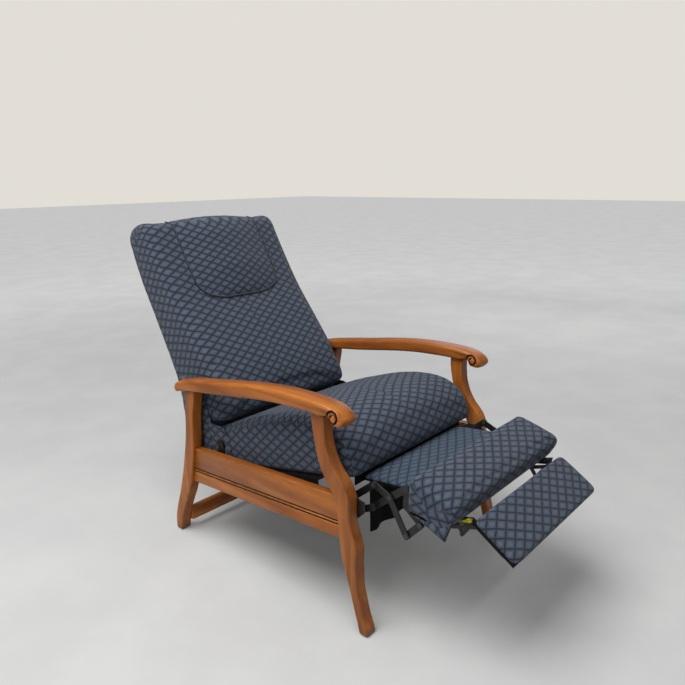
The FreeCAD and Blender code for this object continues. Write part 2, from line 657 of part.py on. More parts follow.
def build_back():
    """Back cushion with pillow, inner frame, panel and hinge plates."""
    half = BACK_WIDTH / 2
    body = cushion(BACK_SHARES, BACK_ORIGIN, BACK_SLOPE, BACK_LENGTH, BACK_DEPTH, half,
                   BACK_EDGE_ROUND, BACK_CROWNS, BACK_CORNER_DROP)
    pillow = cushion(PILLOW_SHARES, along(BACK_ORIGIN, BACK_SLOPE, PILLOW_START, PILLOW_FACE - PILLOW_SINK),
                     PILLOW_SLOPE, PILLOW_LENGTH, PILLOW_THICKNESS + PILLOW_SINK, PILLOW_WIDTH / 2,
                     PILLOW_THICKNESS, PILLOW_CROWNS)
    nodes["head_pillow"] = pillow.cut(body)
    pocket_half = half - POCKET_SIDE * 2
    pocket = slab(BACK_ORIGIN, BACK_SLOPE, BACK_POCKET_START, BACK_POCKET_LENGTH, -BACK_DEPTH,
                  BACK_DEPTH + BACK_POCKET_DEPTH, -pocket_half, pocket_half)
    ring_half = pocket_half - POCKET_CLEARANCE
    ring = ring_of_rails(BACK_ORIGIN, BACK_SLOPE, BACK_POCKET_START + POCKET_CLEARANCE,
                         BACK_POCKET_LENGTH - 2 * POCKET_CLEARANCE, 0, BACK_RAIL_DEPTH, ring_half)
    bolts = []
    low = ring_half
    plate_outer = BACK_PLATE_LAYER + HINGE_PLATE_THICKNESS
    bolt_places = [midpoint(HINGE_PLATE_MIDDLE, HINGE_PLATE_TOP), HINGE_PLATE_TOP]
    for place in bolt_places:
        shaft = round_bar(place, HINGE_BOLT_RADIUS, low, plate_outer)
        bolts.append(shaft.fuse(round_bar(place, HEAD_RADIUS, plate_outer, plate_outer + HEAD_HEIGHT)))
    outside = [along(BACK_ORIGIN, BACK_SLOPE, a * BACK_LENGTH, b * BACK_DEPTH) for a, b in BACK_PANEL_SHARES]
    inside = [along(place, BACK_SLOPE, 0, BACK_PANEL_THICKNESS) for place in outside]
    cover = prism([spline_edge(outside, -ring_half), line_edge(outside[-1], inside[-1], -ring_half),
                   spline_edge(inside, -ring_half), line_edge(outside[0], inside[0], -ring_half)],
                  2 * ring_half)
    nodes["back_cushion"] = mirror_drilled(body.cut(pocket), bolt_places, HINGE_BOLT_RADIUS, low,
                                           plate_outer)
    nodes["back_frame_rails"] = ring
    nodes["back_panel"] = cover
    places = [BACK_PIVOT, HINGE_PLATE_MIDDLE, HINGE_PLATE_TOP]
    blade = flat_bar(places, HINGE_PLATE_WIDTH, BACK_PLATE_LAYER, plate_outer)
    running = HINGE_BOLT_RADIUS + RUNNING_CLEARANCE
    blade = drilled(blade, [BACK_PIVOT], running, BACK_PLATE_LAYER, plate_outer)
    blade = drilled(blade, bolt_places, HINGE_BOLT_RADIUS, BACK_PLATE_LAYER, plate_outer)
    add_pair("back_hinge_plate", blade)
    add_group("back_bolts", bolts)
    foot_outer = FRAME_PLATE_LAYER + HINGE_PLATE_THICKNESS
    foot = flat_bar([HINGE_PLATE_FOOT, BACK_PIVOT], HINGE_PLATE_WIDTH, FRAME_PLATE_LAYER, foot_outer)
    pin = round_bar(BACK_PIVOT, HINGE_BOLT_RADIUS, BACK_PLATE_LAYER, FRAME_PLATE_LAYER)
    spacer = round_bar(HINGE_PLATE_FOOT, SPACER_RADIUS, foot_outer, LEG_INNER)
    add_pair("frame_hinge_plate", foot.fuse(pin).fuse(spacer).removeSplitter())


def mirror_drilled(shape, places, radius, x_low, x_high):
    """Bore the same holes in both sides of one piece."""
    for place in places:
        hole = round_bar(place, radius, x_low - OVERRUN, x_high + OVERRUN)
        shape = shape.cut(hole).cut(other_side(hole))
    return shape


def link(pivots, bored, layer, width=BAR_WIDTH, pin_radius=PIN_RADIUS):
    """Flat bar in a layer with running holes at some of its pivots."""
    bar = flat_bar(pivots, width, layer, layer + BAR_THICKNESS)
    return drilled(bar, bored, pin_radius + RUNNING_CLEARANCE, layer, layer + BAR_THICKNESS)


def rivet(place, fixed_layer, running_layer, pin_radius=PIN_RADIUS, head_radius=HEAD_RADIUS):
    """Pin held by the bar in one layer, with a second head beyond the bar that turns on it."""
    outward = LEFT if running_layer > fixed_layer else RIGHT
    if outward == LEFT:
        near = fixed_layer
        far = running_layer + BAR_THICKNESS + HEAD_GAP
        heads = [(near - HEAD_HEIGHT, near), (far, far + HEAD_HEIGHT)]
        shaft = (near, far)
    else:
        near = fixed_layer + BAR_THICKNESS
        far = running_layer - HEAD_GAP
        heads = [(near, near + HEAD_HEIGHT), (far - HEAD_HEIGHT, far)]
        shaft = (far, near)
    shape = round_bar(place, pin_radius, *shaft)
    for low, high in heads:
        shape = shape.fuse(round_bar(place, head_radius, low, high))
    return shape.removeSplitter()


def stud(place, layer, pin_radius, head_radius):
    """Base plate stud: a sleeve up to the bar and a headed pin through it."""
    shoulder = layer + BAR_THICKNESS + HEAD_GAP
    inner = layer - HEAD_GAP
    shape = round_bar(place, STUD_SLEEVE_RADIUS, shoulder, PLATE_LAYER)
    shape = shape.fuse(round_bar(place, pin_radius, inner, shoulder))
    return shape.fuse(round_bar(place, head_radius, inner - HEAD_HEIGHT, inner)).removeSplitter()


def build_linkage():
    """Base plates and the five links of each side."""
    base = plate(BASE_PLATE, PLATE_LAYER, PLATE_LAYER + BAR_THICKNESS)
    add_pair("base_plate", base)
    add_group("base_studs", [stud(DRIVE_BASE, DRIVE_LAYER, PIN_RADIUS, HEAD_RADIUS),
                             stud(STAY_BASE, STAY_LAYER, STAY_PIN_RADIUS, STAY_HEAD_RADIUS)])
    add_group("base_bolts", [round_bar(place, BOLT_HEAD_RADIUS, PLATE_LAYER - BOLT_HEAD_HEIGHT, PLATE_LAYER)
                             for place in BASE_BOLTS])
    add_pair("drive_link", link([DRIVE_BASE, DRIVE_TIP], [DRIVE_BASE, DRIVE_TIP], DRIVE_LAYER))
    cross = flat_bar([DRIVE_TIP, CROSS_KNEE, CROSS_TIP], BAR_WIDTH, CROSS_LAYER, CROSS_LAYER + BAR_THICKNESS)
    cross = drilled(cross, [DRIVE_TIP, CROSS_KNEE, CROSS_TIP], PIN_RADIUS, CROSS_LAYER,
                    CROSS_LAYER + BAR_THICKNESS)
    add_pair("cross_link", cross)
    add_group("cross_rivets", [rivet(DRIVE_TIP, CROSS_LAYER, DRIVE_LAYER, PIN_RADIUS, DRIVE_HEAD_RADIUS),
                               rivet(CROSS_KNEE, CROSS_LAYER, LONG_LAYER),
                               rivet(CROSS_TIP, CROSS_LAYER, LONG_LAYER)])
    add_pair("long_link", link([LONG_TAIL, CROSS_KNEE, LONG_TIP], [CROSS_KNEE], LONG_LAYER))
    end = link([CROSS_TIP, END_TIP], [CROSS_TIP, END_TIP], LONG_LAYER)
    add_pair("end_link", end)
    stay = link([STAY_BASE, LONG_TAIL], [STAY_BASE], STAY_LAYER, BAR_WIDTH, STAY_PIN_RADIUS)
    boss = round_bar(LONG_TAIL, PIN_RADIUS, LONG_LAYER + BAR_THICKNESS + OPEN_PIVOT_GAP, STAY_LAYER)
    add_pair("stay_link", stay.fuse(boss).removeSplitter())


def build_legrest():
    """Padded panel, its brackets and rivets."""
    pad = cushion(PANEL_SHARES, PANEL_ORIGIN, PANEL_SLOPE, PANEL_LENGTH, PANEL_HEIGHT, PANEL_WIDTH / 2,
                  PANEL_EDGE_ROUND, PANEL_CROWNS)
    half = PANEL_WIDTH / 2 - BOARD_INSET
    board = slab(PANEL_ORIGIN, PANEL_SLOPE, BOARD_INSET, BOARD_LENGTH, 0, BOARD_THICKNESS, -half, half)
    nodes["legrest_pad"] = pad.cut(board)
    nodes["legrest_board"] = board
    flange = slab(PANEL_ORIGIN, PANEL_SLOPE, BOARD_INSET, BOARD_LENGTH, -BAR_THICKNESS, BAR_THICKNESS,
                  BRACKET_LAYER - BAR_WIDTH, BRACKET_LAYER + BAR_THICKNESS)
    bracket_outer = BRACKET_LAYER + BAR_THICKNESS
    arm = flat_bar([LONG_TIP, BRACKET_CROOK, END_TIP], BAR_WIDTH, BRACKET_LAYER, bracket_outer)
    tab = slab(PANEL_ORIGIN, PANEL_SLOPE, BOARD_INSET, BRACKET_FOOT, -BRACKET_DROP, BRACKET_DROP,
               BRACKET_LAYER, BRACKET_LAYER + BAR_THICKNESS)
    panel_space = slab(PANEL_ORIGIN, PANEL_SLOPE, BOARD_INSET - PANEL_MARGIN, PANEL_LENGTH, 0, PANEL_HEIGHT,
                       0, PANEL_WIDTH)
    bracket = tab.fuse(arm).cut(panel_space).fuse(flange).removeSplitter()
    bracket = drilled(bracket, [END_TIP], PIN_RADIUS, BRACKET_LAYER, BRACKET_LAYER + BAR_THICKNESS)
    boss_outer = LONG_LAYER - OPEN_PIVOT_GAP
    bracket = bracket.fuse(round_bar(LONG_TIP, PIN_RADIUS, BRACKET_LAYER, boss_outer)).removeSplitter()
    add_pair("legrest_bracket", bracket)
    ear_high = FLIPPER_ARM_LAYER + BAR_THICKNESS
    low_ear = FLIPPER_ARM_LAYER + BAR_STEP
    board_low = along(PANEL_ORIGIN, PANEL_SLOPE, BOARD_LENGTH - EAR_BACKSET, EAR_WIDTH / 2)
    ear = flat_bar([FLIPPER_ARM_BASE, board_low], SLIM_BAR_WIDTH, low_ear, low_ear + BAR_THICKNESS)
    control_low = CONTROL_LAYER - BAR_STEP
    control_high = control_low + BAR_THICKNESS
    control_ear = flat_bar([CONTROL_BASE, board_low], SLIM_BAR_WIDTH, control_low, control_high)
    hinge_ear = flat_bar([FILLER_HINGE, FILLER_EAR_CROOK, FILLER_EAR_FOOT], EAR_WIDTH, FILLER_HINGE_LAYER,
                         FILLER_HINGE_LAYER + BAR_THICKNESS)
    below = slab(PANEL_ORIGIN, PANEL_SLOPE, 0, PANEL_LENGTH, 0, PANEL_HEIGHT, 0, PANEL_WIDTH)
    ears = [drilled(ear, [FLIPPER_ARM_BASE], SLIM_PIN_RADIUS, low_ear, low_ear + BAR_THICKNESS).cut(below),
            drilled(control_ear, [CONTROL_BASE], SLIM_PIN_RADIUS, control_low, control_high).cut(below),
            drilled(hinge_ear, [FILLER_HINGE], EAR_PIN_RADIUS, FILLER_HINGE_LAYER,
                    FILLER_HINGE_LAYER + BAR_THICKNESS).cut(below)]
    add_group("legrest_ears", ears)
    small = round_bar(FILLER_HINGE, EAR_PIN_RADIUS, FILLER_HINGE_LAYER, FILLER_EAR_LAYER + BAR_THICKNESS)
    add_group("legrest_rivets", [rivet(END_TIP, BRACKET_LAYER, LONG_LAYER),
                                 rivet(FLIPPER_ARM_BASE, low_ear, FLIPPER_ARM_LAYER, SLIM_PIN_RADIUS,
                                       SLIM_HEAD_RADIUS),
                                 rivet(CONTROL_BASE, control_low, CONTROL_LAYER, SLIM_PIN_RADIUS,
                                       SLIM_HEAD_RADIUS), small])


def build_flipper():
    """Flip-out panel with its arms and control links."""
    arm = link([FLIPPER_ARM_BASE, FLIPPER_ARM_TIP], [FLIPPER_ARM_BASE, FLIPPER_ARM_TIP],
               FLIPPER_ARM_LAYER, SLIM_BAR_WIDTH, SLIM_PIN_RADIUS)
    add_pair("flipper_arm", arm)
    pad = cushion(FLIPPER_SHARES, FLIPPER_ORIGIN, FLIPPER_SLOPE, FLIPPER_LENGTH, FLIPPER_HEIGHT,
                  FLIPPER_WIDTH / 2, FLIPPER_EDGE_ROUND, FLIPPER_CROWNS)
    half = FLIPPER_WIDTH / 2 - SMALL_ROUND
    board = slab(FLIPPER_ORIGIN, FLIPPER_SLOPE, SMALL_ROUND, FLIPPER_LENGTH - 2 * SMALL_ROUND, 0,
                 FLIPPER_BOARD, -half, half)
    nodes["flipper_pad"] = pad.cut(board)
    nodes["flipper_board"] = board
    high = FLIPPER_EAR_LAYER + BAR_THICKNESS
    runner = slab(FLIPPER_ORIGIN, FLIPPER_SLOPE, RUNNER_START, RUNNER_LENGTH, -RUNNER_DROP, RUNNER_DROP,
                  FLIPPER_EAR_LAYER, high)
    foot = slab(FLIPPER_ORIGIN, FLIPPER_SLOPE, RUNNER_START, RUNNER_LENGTH, -BAR_THICKNESS,
                BAR_THICKNESS, FLIPPER_EAR_LAYER, high + BAR_WIDTH)
    ear_foot = along(FLIPPER_ORIGIN, FLIPPER_SLOPE, BAR_WIDTH, -RUNNER_DROP / 2)
    ear = flat_bar([CONTROL_TIP, FLIPPER_ARM_TIP, ear_foot], RUNNER_DROP, FLIPPER_EAR_LAYER, high)
    above = slab(FLIPPER_ORIGIN, FLIPPER_SLOPE, 0, FLIPPER_LENGTH, 0, FLIPPER_HEIGHT, 0, FLIPPER_WIDTH)
    bracket = drilled(runner.fuse(ear).cut(above).fuse(foot).removeSplitter(), [FLIPPER_ARM_TIP],
                      SLIM_PIN_RADIUS, FLIPPER_EAR_LAYER, high)
    boss = round_bar(CONTROL_TIP, EAR_PIN_RADIUS, CONTROL_LAYER + BAR_THICKNESS + OPEN_PIVOT_GAP,
                     FLIPPER_EAR_LAYER)
    add_pair("flipper_bracket", bracket.fuse(boss).fuse(
        rivet(FLIPPER_ARM_TIP, FLIPPER_EAR_LAYER, FLIPPER_ARM_LAYER, SLIM_PIN_RADIUS,
              SLIM_HEAD_RADIUS)).removeSplitter())
    end = along(CONTROL_BASE, slope_between(CONTROL_BASE, CONTROL_TIP),
                distance(CONTROL_BASE, CONTROL_TIP) - CONTROL_SHORTFALL, 0)
    control = link([CONTROL_BASE, end], [CONTROL_BASE], CONTROL_LAYER, SLIM_BAR_WIDTH, SLIM_PIN_RADIUS)
    add_group("control_links", [control])


def build_filler():
    """Flap that bridges seat and legrest, with the curtain that hangs from its rear edge."""
    pad = cushion(FILLER_SHARES, FILLER_ORIGIN, FILLER_SLOPE, FILLER_LENGTH, FILLER_HEIGHT,
                  FILLER_WIDTH / 2, FILLER_EDGE_ROUND, FILLER_CROWNS)
    half = FILLER_WIDTH / 2 - SMALL_ROUND
    board = slab(FILLER_ORIGIN, FILLER_SLOPE, SMALL_ROUND, FILLER_LENGTH - 2 * SMALL_ROUND, 0,
                 FILLER_BOARD, -half, half)
    nodes["filler_pad"] = pad.cut(board)
    nodes["filler_board"] = board
    foot = along(FILLER_ORIGIN, FILLER_SLOPE, FILLER_LENGTH - BAR_WIDTH, -EAR_WIDTH / 2)
    ear = flat_bar([foot, FILLER_HINGE], EAR_WIDTH, FILLER_EAR_LAYER, FILLER_EAR_LAYER + BAR_THICKNESS)
    above = slab(FILLER_ORIGIN, FILLER_SLOPE, 0, FILLER_LENGTH, 0, FILLER_HEIGHT, 0, FILLER_WIDTH)
    add_group("filler_ears", [drilled(ear.cut(above), [FILLER_HINGE], EAR_PIN_RADIUS + RUNNING_CLEARANCE,
                                      FILLER_EAR_LAYER, FILLER_EAR_LAYER + BAR_THICKNESS)])
    nodes["front_curtain"] = curtain()


def curtain():
    """Cloth in upright folds that grow towards the hem."""
    top = along(FILLER_ORIGIN, FILLER_SLOPE, CURTAIN_INSET, -CURTAIN_SEAM)
    wires = []
    for level in CURTAIN_LEVEL_SHARES:
        swing = CURTAIN_FOLD * (CURTAIN_TOP_SHARE + (1 - CURTAIN_TOP_SHARE) * level)
        up = top[1] - level * CURTAIN_DROP
        front = []
        count = CURTAIN_FOLDS * FOLD_POINT_COUNT
        for index in range(count + 1):
            x = CURTAIN_WIDTH * (index / count - 1 / 2)
            front.append((x, top[0] + swing * math.sin(index * math.pi / 2)))
        edges = []
        for offset in (0.0, CURTAIN_THICKNESS):
            curve = Part.BSplineCurve()
            curve.interpolate([at(x, f - offset, up) for x, f in front])
            edges.append(curve.toShape())
        for x, f in (front[0], front[-1]):
            edges.append(Part.makeLine(at(x, f, up), at(x, f - CURTAIN_THICKNESS, up)))
        wires.append(Part.Wire(Part.__sortEdges__(edges)))
    return Part.makeLoft(wires, True, False)


build_frame()
build_seat()
build_back()
build_linkage()
build_legrest()
build_flipper()
build_filler()

everything = Part.makeCompound(list(nodes.values()))
EXTENT = everything.optimalBoundingBox(False)
CENTRE_Y = (EXTENT.YMin + EXTENT.YMax) / 2

if __name__ == "__main__":
    os.makedirs("parts", exist_ok=True)
    for name, shape in nodes.items():
        shape.translate(V(0, -CENTRE_Y, 0))
        shape.exportStep("parts/" + name + ".step")
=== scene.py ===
"""Push-back recliner with an open hardwood frame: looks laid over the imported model, in metres.

X runs to the sitter's left, Y to the rear and Z up. Side-plane places are (forward, up), as in the
part's source, and the lounging pose is drawn: legrest out, back part reclined.
"""
import logging
import math
from collections.abc import Callable
from dataclasses import dataclass
from enum import Enum

import bmesh
import bpy
import numpy as np
from mathutils import Matrix, Vector
from mathutils.bvhtree import BVHTree
from mathutils.kdtree import KDTree


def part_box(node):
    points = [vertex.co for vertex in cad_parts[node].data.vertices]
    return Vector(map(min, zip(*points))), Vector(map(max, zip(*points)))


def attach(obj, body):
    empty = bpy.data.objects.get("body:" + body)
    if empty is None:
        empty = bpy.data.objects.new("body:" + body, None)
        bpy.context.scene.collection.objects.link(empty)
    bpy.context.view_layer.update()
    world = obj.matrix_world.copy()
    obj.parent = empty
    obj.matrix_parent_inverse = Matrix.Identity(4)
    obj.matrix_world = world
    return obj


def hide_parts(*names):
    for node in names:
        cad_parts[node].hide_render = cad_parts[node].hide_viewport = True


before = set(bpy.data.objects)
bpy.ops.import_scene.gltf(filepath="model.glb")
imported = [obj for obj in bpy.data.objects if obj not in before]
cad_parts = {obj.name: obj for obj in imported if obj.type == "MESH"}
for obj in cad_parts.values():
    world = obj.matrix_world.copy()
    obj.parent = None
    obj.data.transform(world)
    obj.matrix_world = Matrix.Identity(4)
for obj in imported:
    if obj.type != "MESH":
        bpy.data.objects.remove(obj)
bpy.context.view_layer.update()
LOG = logging.getLogger("recliner")
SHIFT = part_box("rear_cross_rail")[0][1] - 0.190

Place = tuple[float, float]
Shares = list[Place]


def at(x: float, forward: float, up: float) -> Vector:
    """Turn a place in the side plane into a point."""
    return Vector((x, SHIFT - forward, up))


def along(origin: Place, angle: float, run: float, rise: float) -> Place:
    """Step from origin by run along a slope of angle degrees and by rise square to it."""
    turn = math.radians(angle)
    return (origin[0] + run * math.cos(turn) - rise * math.sin(turn),
            origin[1] + run * math.sin(turn) + rise * math.cos(turn))


def tone(red: int, green: int, blue: int) -> tuple[float, float, float, float]:
    """Turn a screen colour of 0 to 255 into the scene's linear colour."""
    def linear(value: int) -> float:
        """One channel."""
        share = value / 255
        return share / 12.92 if share <= 0.04045 else ((share + 0.055) / 1.055) ** 2.4
    return (linear(red), linear(green), linear(blue), 1.0)


def smooth_run(points: list[Place], step: float) -> list[Place]:
    """Sample a smooth run through places.

    Args:
        points: places in order.
        step: about how far apart the samples lie.

    Returns:
        Evenly fine samples, the first and last place among them.
    """
    count = len(points)
    result: list[Place] = []
    for i in range(count - 1):
        p1, p2 = points[i], points[i + 1]
        p0 = points[i - 1] if i > 0 else p1
        p3 = points[i + 2] if i + 2 < count else p2
        parts = max(1, round(math.dist(p1, p2) / step))
        for k in range(parts):
            t = k / parts
            result.append(tuple(0.5 * (2 * p1[a] + (p2[a] - p0[a]) * t
                                       + (2 * p0[a] - 5 * p1[a] + 4 * p2[a] - p3[a]) * t * t
                                       + (3 * p1[a] - p0[a] - 3 * p2[a] + p3[a]) * t ** 3) for a in (0, 1)))
    result.append(points[-1])
    return result


# Materials

class Book:
    """Writes one procedural material, node by node."""

    def __init__(self, name: str) -> None:
        """Start an empty material with a surface shader."""
        self.material = bpy.data.materials.new(name)
        self.material.use_nodes = True
        self.tree = self.material.node_tree
        self.tree.nodes.clear()
        self.output = self.tree.nodes.new("ShaderNodeOutputMaterial")
        self.shader = self.node("ShaderNodeBsdfPrincipled")
        self.tree.links.new(self.shader.outputs[0], self.output.inputs[0])

    def node(self, kind: str, **settings: object) -> bpy.types.Node:
        """Add a node and set its own options."""
        made = self.tree.nodes.new(kind)
        for key, value in settings.items():
            setattr(made, key, value)
        return made

    def feed(self, source: object, node: bpy.types.Node, socket: object) -> None:
        """Put a number, colour or another node's output into a socket."""
        target = node.inputs[socket]
        if isinstance(source, bpy.types.NodeSocket):
            self.tree.links.new(source, target)
        else:
            target.default_value = source

    def sum(self, operation: str, a: object, b: object) -> bpy.types.NodeSocket:
        """Work out a Math node of two numbers."""
        made = self.node("ShaderNodeMath", operation=operation)
        for index, value in enumerate((a, b)):
            self.feed(value, made, index)
        return made.outputs[0]

    def plus(self, a: object, b: object) -> bpy.types.NodeSocket:
        """Add two numbers."""
        return self.sum("ADD", a, b)

    def minus(self, a: object, b: object) -> bpy.types.NodeSocket:
        """Take the second number from the first."""
        return self.sum("SUBTRACT", a, b)

    def times(self, a: object, b: object) -> bpy.types.NodeSocket:
        """Multiply two numbers."""
        return self.sum("MULTIPLY", a, b)

    def place(self, scale: tuple[float, float, float] = (1, 1, 1), layer: str = "") -> bpy.types.NodeSocket:
        """Give object coordinates, or a named surface map, scaled."""
        if layer:
            source = self.node("ShaderNodeUVMap", uv_map=layer).outputs[0]
        else:
            source = self.node("ShaderNodeTexCoord").outputs["Object"]
        mapping = self.node("ShaderNodeMapping")
        self.feed(source, mapping, "Vector")
        mapping.inputs["Scale"].default_value = scale
        return mapping.outputs[0]

    def noise(self, place: object, scale: float, detail: float = 2.0, rough: float = 0.5,
              lean: float = 0.0) -> bpy.types.NodeSocket:
        """Cloudy variation between 0 and 1."""
        made = self.node("ShaderNodeTexNoise")
        self.feed(place, made, "Vector")
        made.inputs["Scale"].default_value = scale
        made.inputs["Detail"].default_value = detail
        made.inputs["Roughness"].default_value = rough
        made.inputs["Distortion"].default_value = lean
        return made.outputs["Fac"]

    def ramp(self, value: object, low: float, high: float, a: float = 0.0,
             b: float = 1.0) -> bpy.types.NodeSocket:
        """Stretch a range smoothly to another."""
        made = self.node("ShaderNodeMapRange", interpolation_type="SMOOTHSTEP")
        sockets = ("Value", "From Min", "From Max", "To Min", "To Max")
        for socket, number in zip(sockets, (value, low, high, a, b)):
            self.feed(number, made, socket)
        return made.outputs[0]

    def blend(self, share: object, a: object, b: object) -> bpy.types.NodeSocket:
        """Mix two colours."""
        made = self.node("ShaderNodeMix", data_type="RGBA")
        self.feed(share, made, 0)
        self.feed(a, made, 6)
        self.feed(b, made, 7)
        return made.outputs[2]

    def edges(self, radius: float) -> tuple[bpy.types.NodeSocket, bpy.types.NodeSocket]:
        """Give how near a surface is to an edge, and a normal that rounds that edge."""
        bevel = self.node("ShaderNodeBevel", samples=6)
        bevel.inputs["Radius"].default_value = radius
        geometry = self.node("ShaderNodeNewGeometry")
        facing = self.node("ShaderNodeVectorMath", operation="DOT_PRODUCT")
        self.feed(bevel.outputs[0], facing, 0)
        self.feed(geometry.outputs["Normal"], facing, 1)
        return self.minus(1.0, facing.outputs["Value"]), bevel.outputs[0]

    def bump(self, height: object, depth: float, normal: object = None) -> bpy.types.NodeSocket:
        """Turn a height of 0 to 1 into a normal, depth metres tall."""
        made = self.node("ShaderNodeBump")
        self.feed(height, made, "Height")
        made.inputs["Distance"].default_value = depth
        made.inputs["Strength"].default_value = 1.0
        if normal is not None:
            self.feed(normal, made, "Normal")
        return made.outputs[0]

    def finish(self, colour: object, rough: object, normal: object = None,
               **shine: float) -> bpy.types.Material:
        """Set the shader and hand the material back."""
        self.feed(colour, self.shader, "Base Color")
        self.feed(rough, self.shader, "Roughness")
        if normal is not None:
            self.feed(normal, self.shader, "Normal")
        for key, value in shine.items():
            self.shader.inputs[key.replace("_", " ")].default_value = value
        return self.material


class Grain(Enum):
    """The way the grain of a wooden piece runs, as how far each direction is drawn out."""

    UPRIGHT = (1.0, 1.0, 0.07)
    FORE_AND_AFT = (1.0, 0.07, 1.0)
    SIDE_TO_SIDE = (0.07, 1.0, 1.0)


@dataclass(frozen=True)
class LacqueredHardwood:
    """Orange-brown lacquered hardwood with worn edges."""

    name: str
    grain: Grain
    light: tuple = tone(188, 114, 44)
    middle: tuple = tone(158, 88, 28)
    deep: tuple = tone(110, 56, 16)
    worn: tuple = tone(218, 160, 96)
    soot: tuple = tone(58, 32, 18)

    def material(self) -> bpy.types.Material:
        """Grain, pores, worn arrises, dull spots and dark foot ends."""
        book = Book(self.name)
        run = book.place(scale=self.grain.value)
        figure = book.noise(run, 16.0, 4.0, 0.55, 1.6)
        streak = book.noise(run, 150.0, 5.0, 0.68, 0.5)
        pores = book.ramp(book.noise(run, 420.0, 3.0, 0.7), 0.60, 0.78)
        patch = book.noise(book.place(), 7.0, 3.0, 0.6)
        colour = book.blend(book.ramp(figure, 0.34, 0.66), self.deep, self.light)
        colour = book.blend(book.ramp(streak, 0.30, 0.72, 0.15, 0.85), colour, self.middle)
        colour = book.blend(book.ramp(patch, 0.35, 0.75, 0.0, 0.35), colour, self.deep)
        colour = book.blend(book.times(pores, 0.45), colour, self.soot)
        near, rounded = book.edges(0.0045)
        scuffs = book.noise(book.place(), 38.0, 4.0, 0.7)
        wear = book.times(book.ramp(near, 0.02, 0.22), book.ramp(scuffs, 0.40, 0.62))
        colour = book.blend(book.times(wear, 0.62), colour, self.worn)
        height = book.node("ShaderNodeSeparateXYZ")
        book.feed(book.place(), height, 0)
        foot = book.plus(height.outputs[2], book.times(book.noise(book.place(), 60.0, 3.0), 0.03))
        colour = book.blend(book.ramp(foot, 0.012, 0.055, 0.62, 0.0), colour, self.soot)
        rough = book.ramp(book.plus(streak, book.times(patch, 0.6)), 0.5, 1.1, 0.27, 0.47)
        rough = book.plus(rough, book.times(wear, 0.18))
        relief = book.minus(book.times(streak, 0.4), pores)
        return book.finish(colour, rough, book.bump(relief, 0.0002, rounded), Coat_Weight=0.14,
                           Coat_Roughness=0.25, Specular_IOR_Level=0.32)


@dataclass(frozen=True)
class ChenilleLattice:
    """Heathered chenille with a dark diagonal lattice and pale flecks, and an optional teal tint of painted
    shade.
    """

    name: str
    light: tuple = tone(88, 96, 110)
    middle: tuple = tone(52, 60, 73)
    line: tuple = tone(18, 22, 34)
    fleck: tuple = tone(160, 164, 172)
    # The teal colour and its share paint shade: a copy of the cloth tinted darker teal, as it looks in shade.
    painted_shade_teal: tuple = tone(50, 74, 92)
    painted_shade_share: float = 0.0
    short_pitch: float = 0.0280
    long_pitch: float = 0.0452
    layer: str = "weave"

    def material(self) -> bpy.types.Material:
        """Diagonal lines over tufted cells, with flecks and soft sheen."""
        book = Book(self.name)
        cloth = book.place(layer=self.layer)
        wander = book.noise(cloth, 9.0, 2.0)
        parts = book.node("ShaderNodeSeparateXYZ")
        book.feed(cloth, parts, 0)
        drift = book.times(book.minus(wander, 0.5), 0.004)
        run = book.plus(parts.outputs[0], drift)
        rise = parts.outputs[1]
        lines, cells = [], []
        for operation in ("ADD", "SUBTRACT"):
            step = book.sum(operation, book.sum("DIVIDE", run, self.short_pitch),
                            book.sum("DIVIDE", rise, self.long_pitch))
            ragged = book.times(book.minus(book.noise(cloth, 700.0, 2.0), 0.5), 0.16)
            swing = book.sum("PINGPONG", book.plus(step, ragged), 0.5)
            lines.append(book.ramp(swing, 0.035, 0.110, 1.0, 0.0))
            cells.append(book.ramp(swing, 0.08, 0.36))
        line = book.sum("MAXIMUM", lines[0], lines[1])
        cell = book.times(cells[0], cells[1])
        heather = book.noise(cloth, 520.0, 3.0, 0.7)
        blotch = book.noise(cloth, 28.0, 3.0, 0.6)
        mottle = book.times(book.minus(heather, 0.5), 2.4)
        colour = book.blend(book.ramp(book.plus(book.times(cell, 0.5), mottle), -0.25, 0.75),
                            self.middle, self.light)
        # Painted shade: tint this copy toward the darker teal of cloth in shade.
        if self.painted_shade_share:
            colour = book.blend(self.painted_shade_share, colour, self.painted_shade_teal)
        colour = book.blend(book.ramp(blotch, 0.3, 0.8, 0.0, 0.30), colour, self.middle)
        flecks = book.ramp(book.noise(cloth, 260.0, 2.0, 0.5), 0.70, 0.76)
        colour = book.blend(book.times(flecks, 0.55), colour, self.fleck)
        shreds = book.ramp(book.noise(cloth, 330.0, 3.0, 0.7), 0.56, 0.68)
        colour = book.blend(book.times(shreds, 0.40), colour, self.line)
        dark = book.times(line, book.ramp(heather, 0.25, 0.75, 0.96, 0.56))
        colour = book.blend(dark, colour, self.line)
        tufts = book.node("ShaderNodeTexVoronoi", feature="F1")
        book.feed(cloth, tufts, "Vector")
        tufts.inputs["Scale"].default_value = 620.0
        pile = book.minus(1.0, tufts.outputs["Distance"])
        height = book.plus(book.times(pile, 0.45), book.times(heather, 0.35))
        height = book.minus(height, book.times(line, 0.5))
        return book.finish(colour, book.ramp(heather, 0.2, 0.8, 0.78, 0.96), book.bump(height, 0.0011),
                           Sheen_Weight=0.10, Sheen_Roughness=0.5, Specular_IOR_Level=0.15)


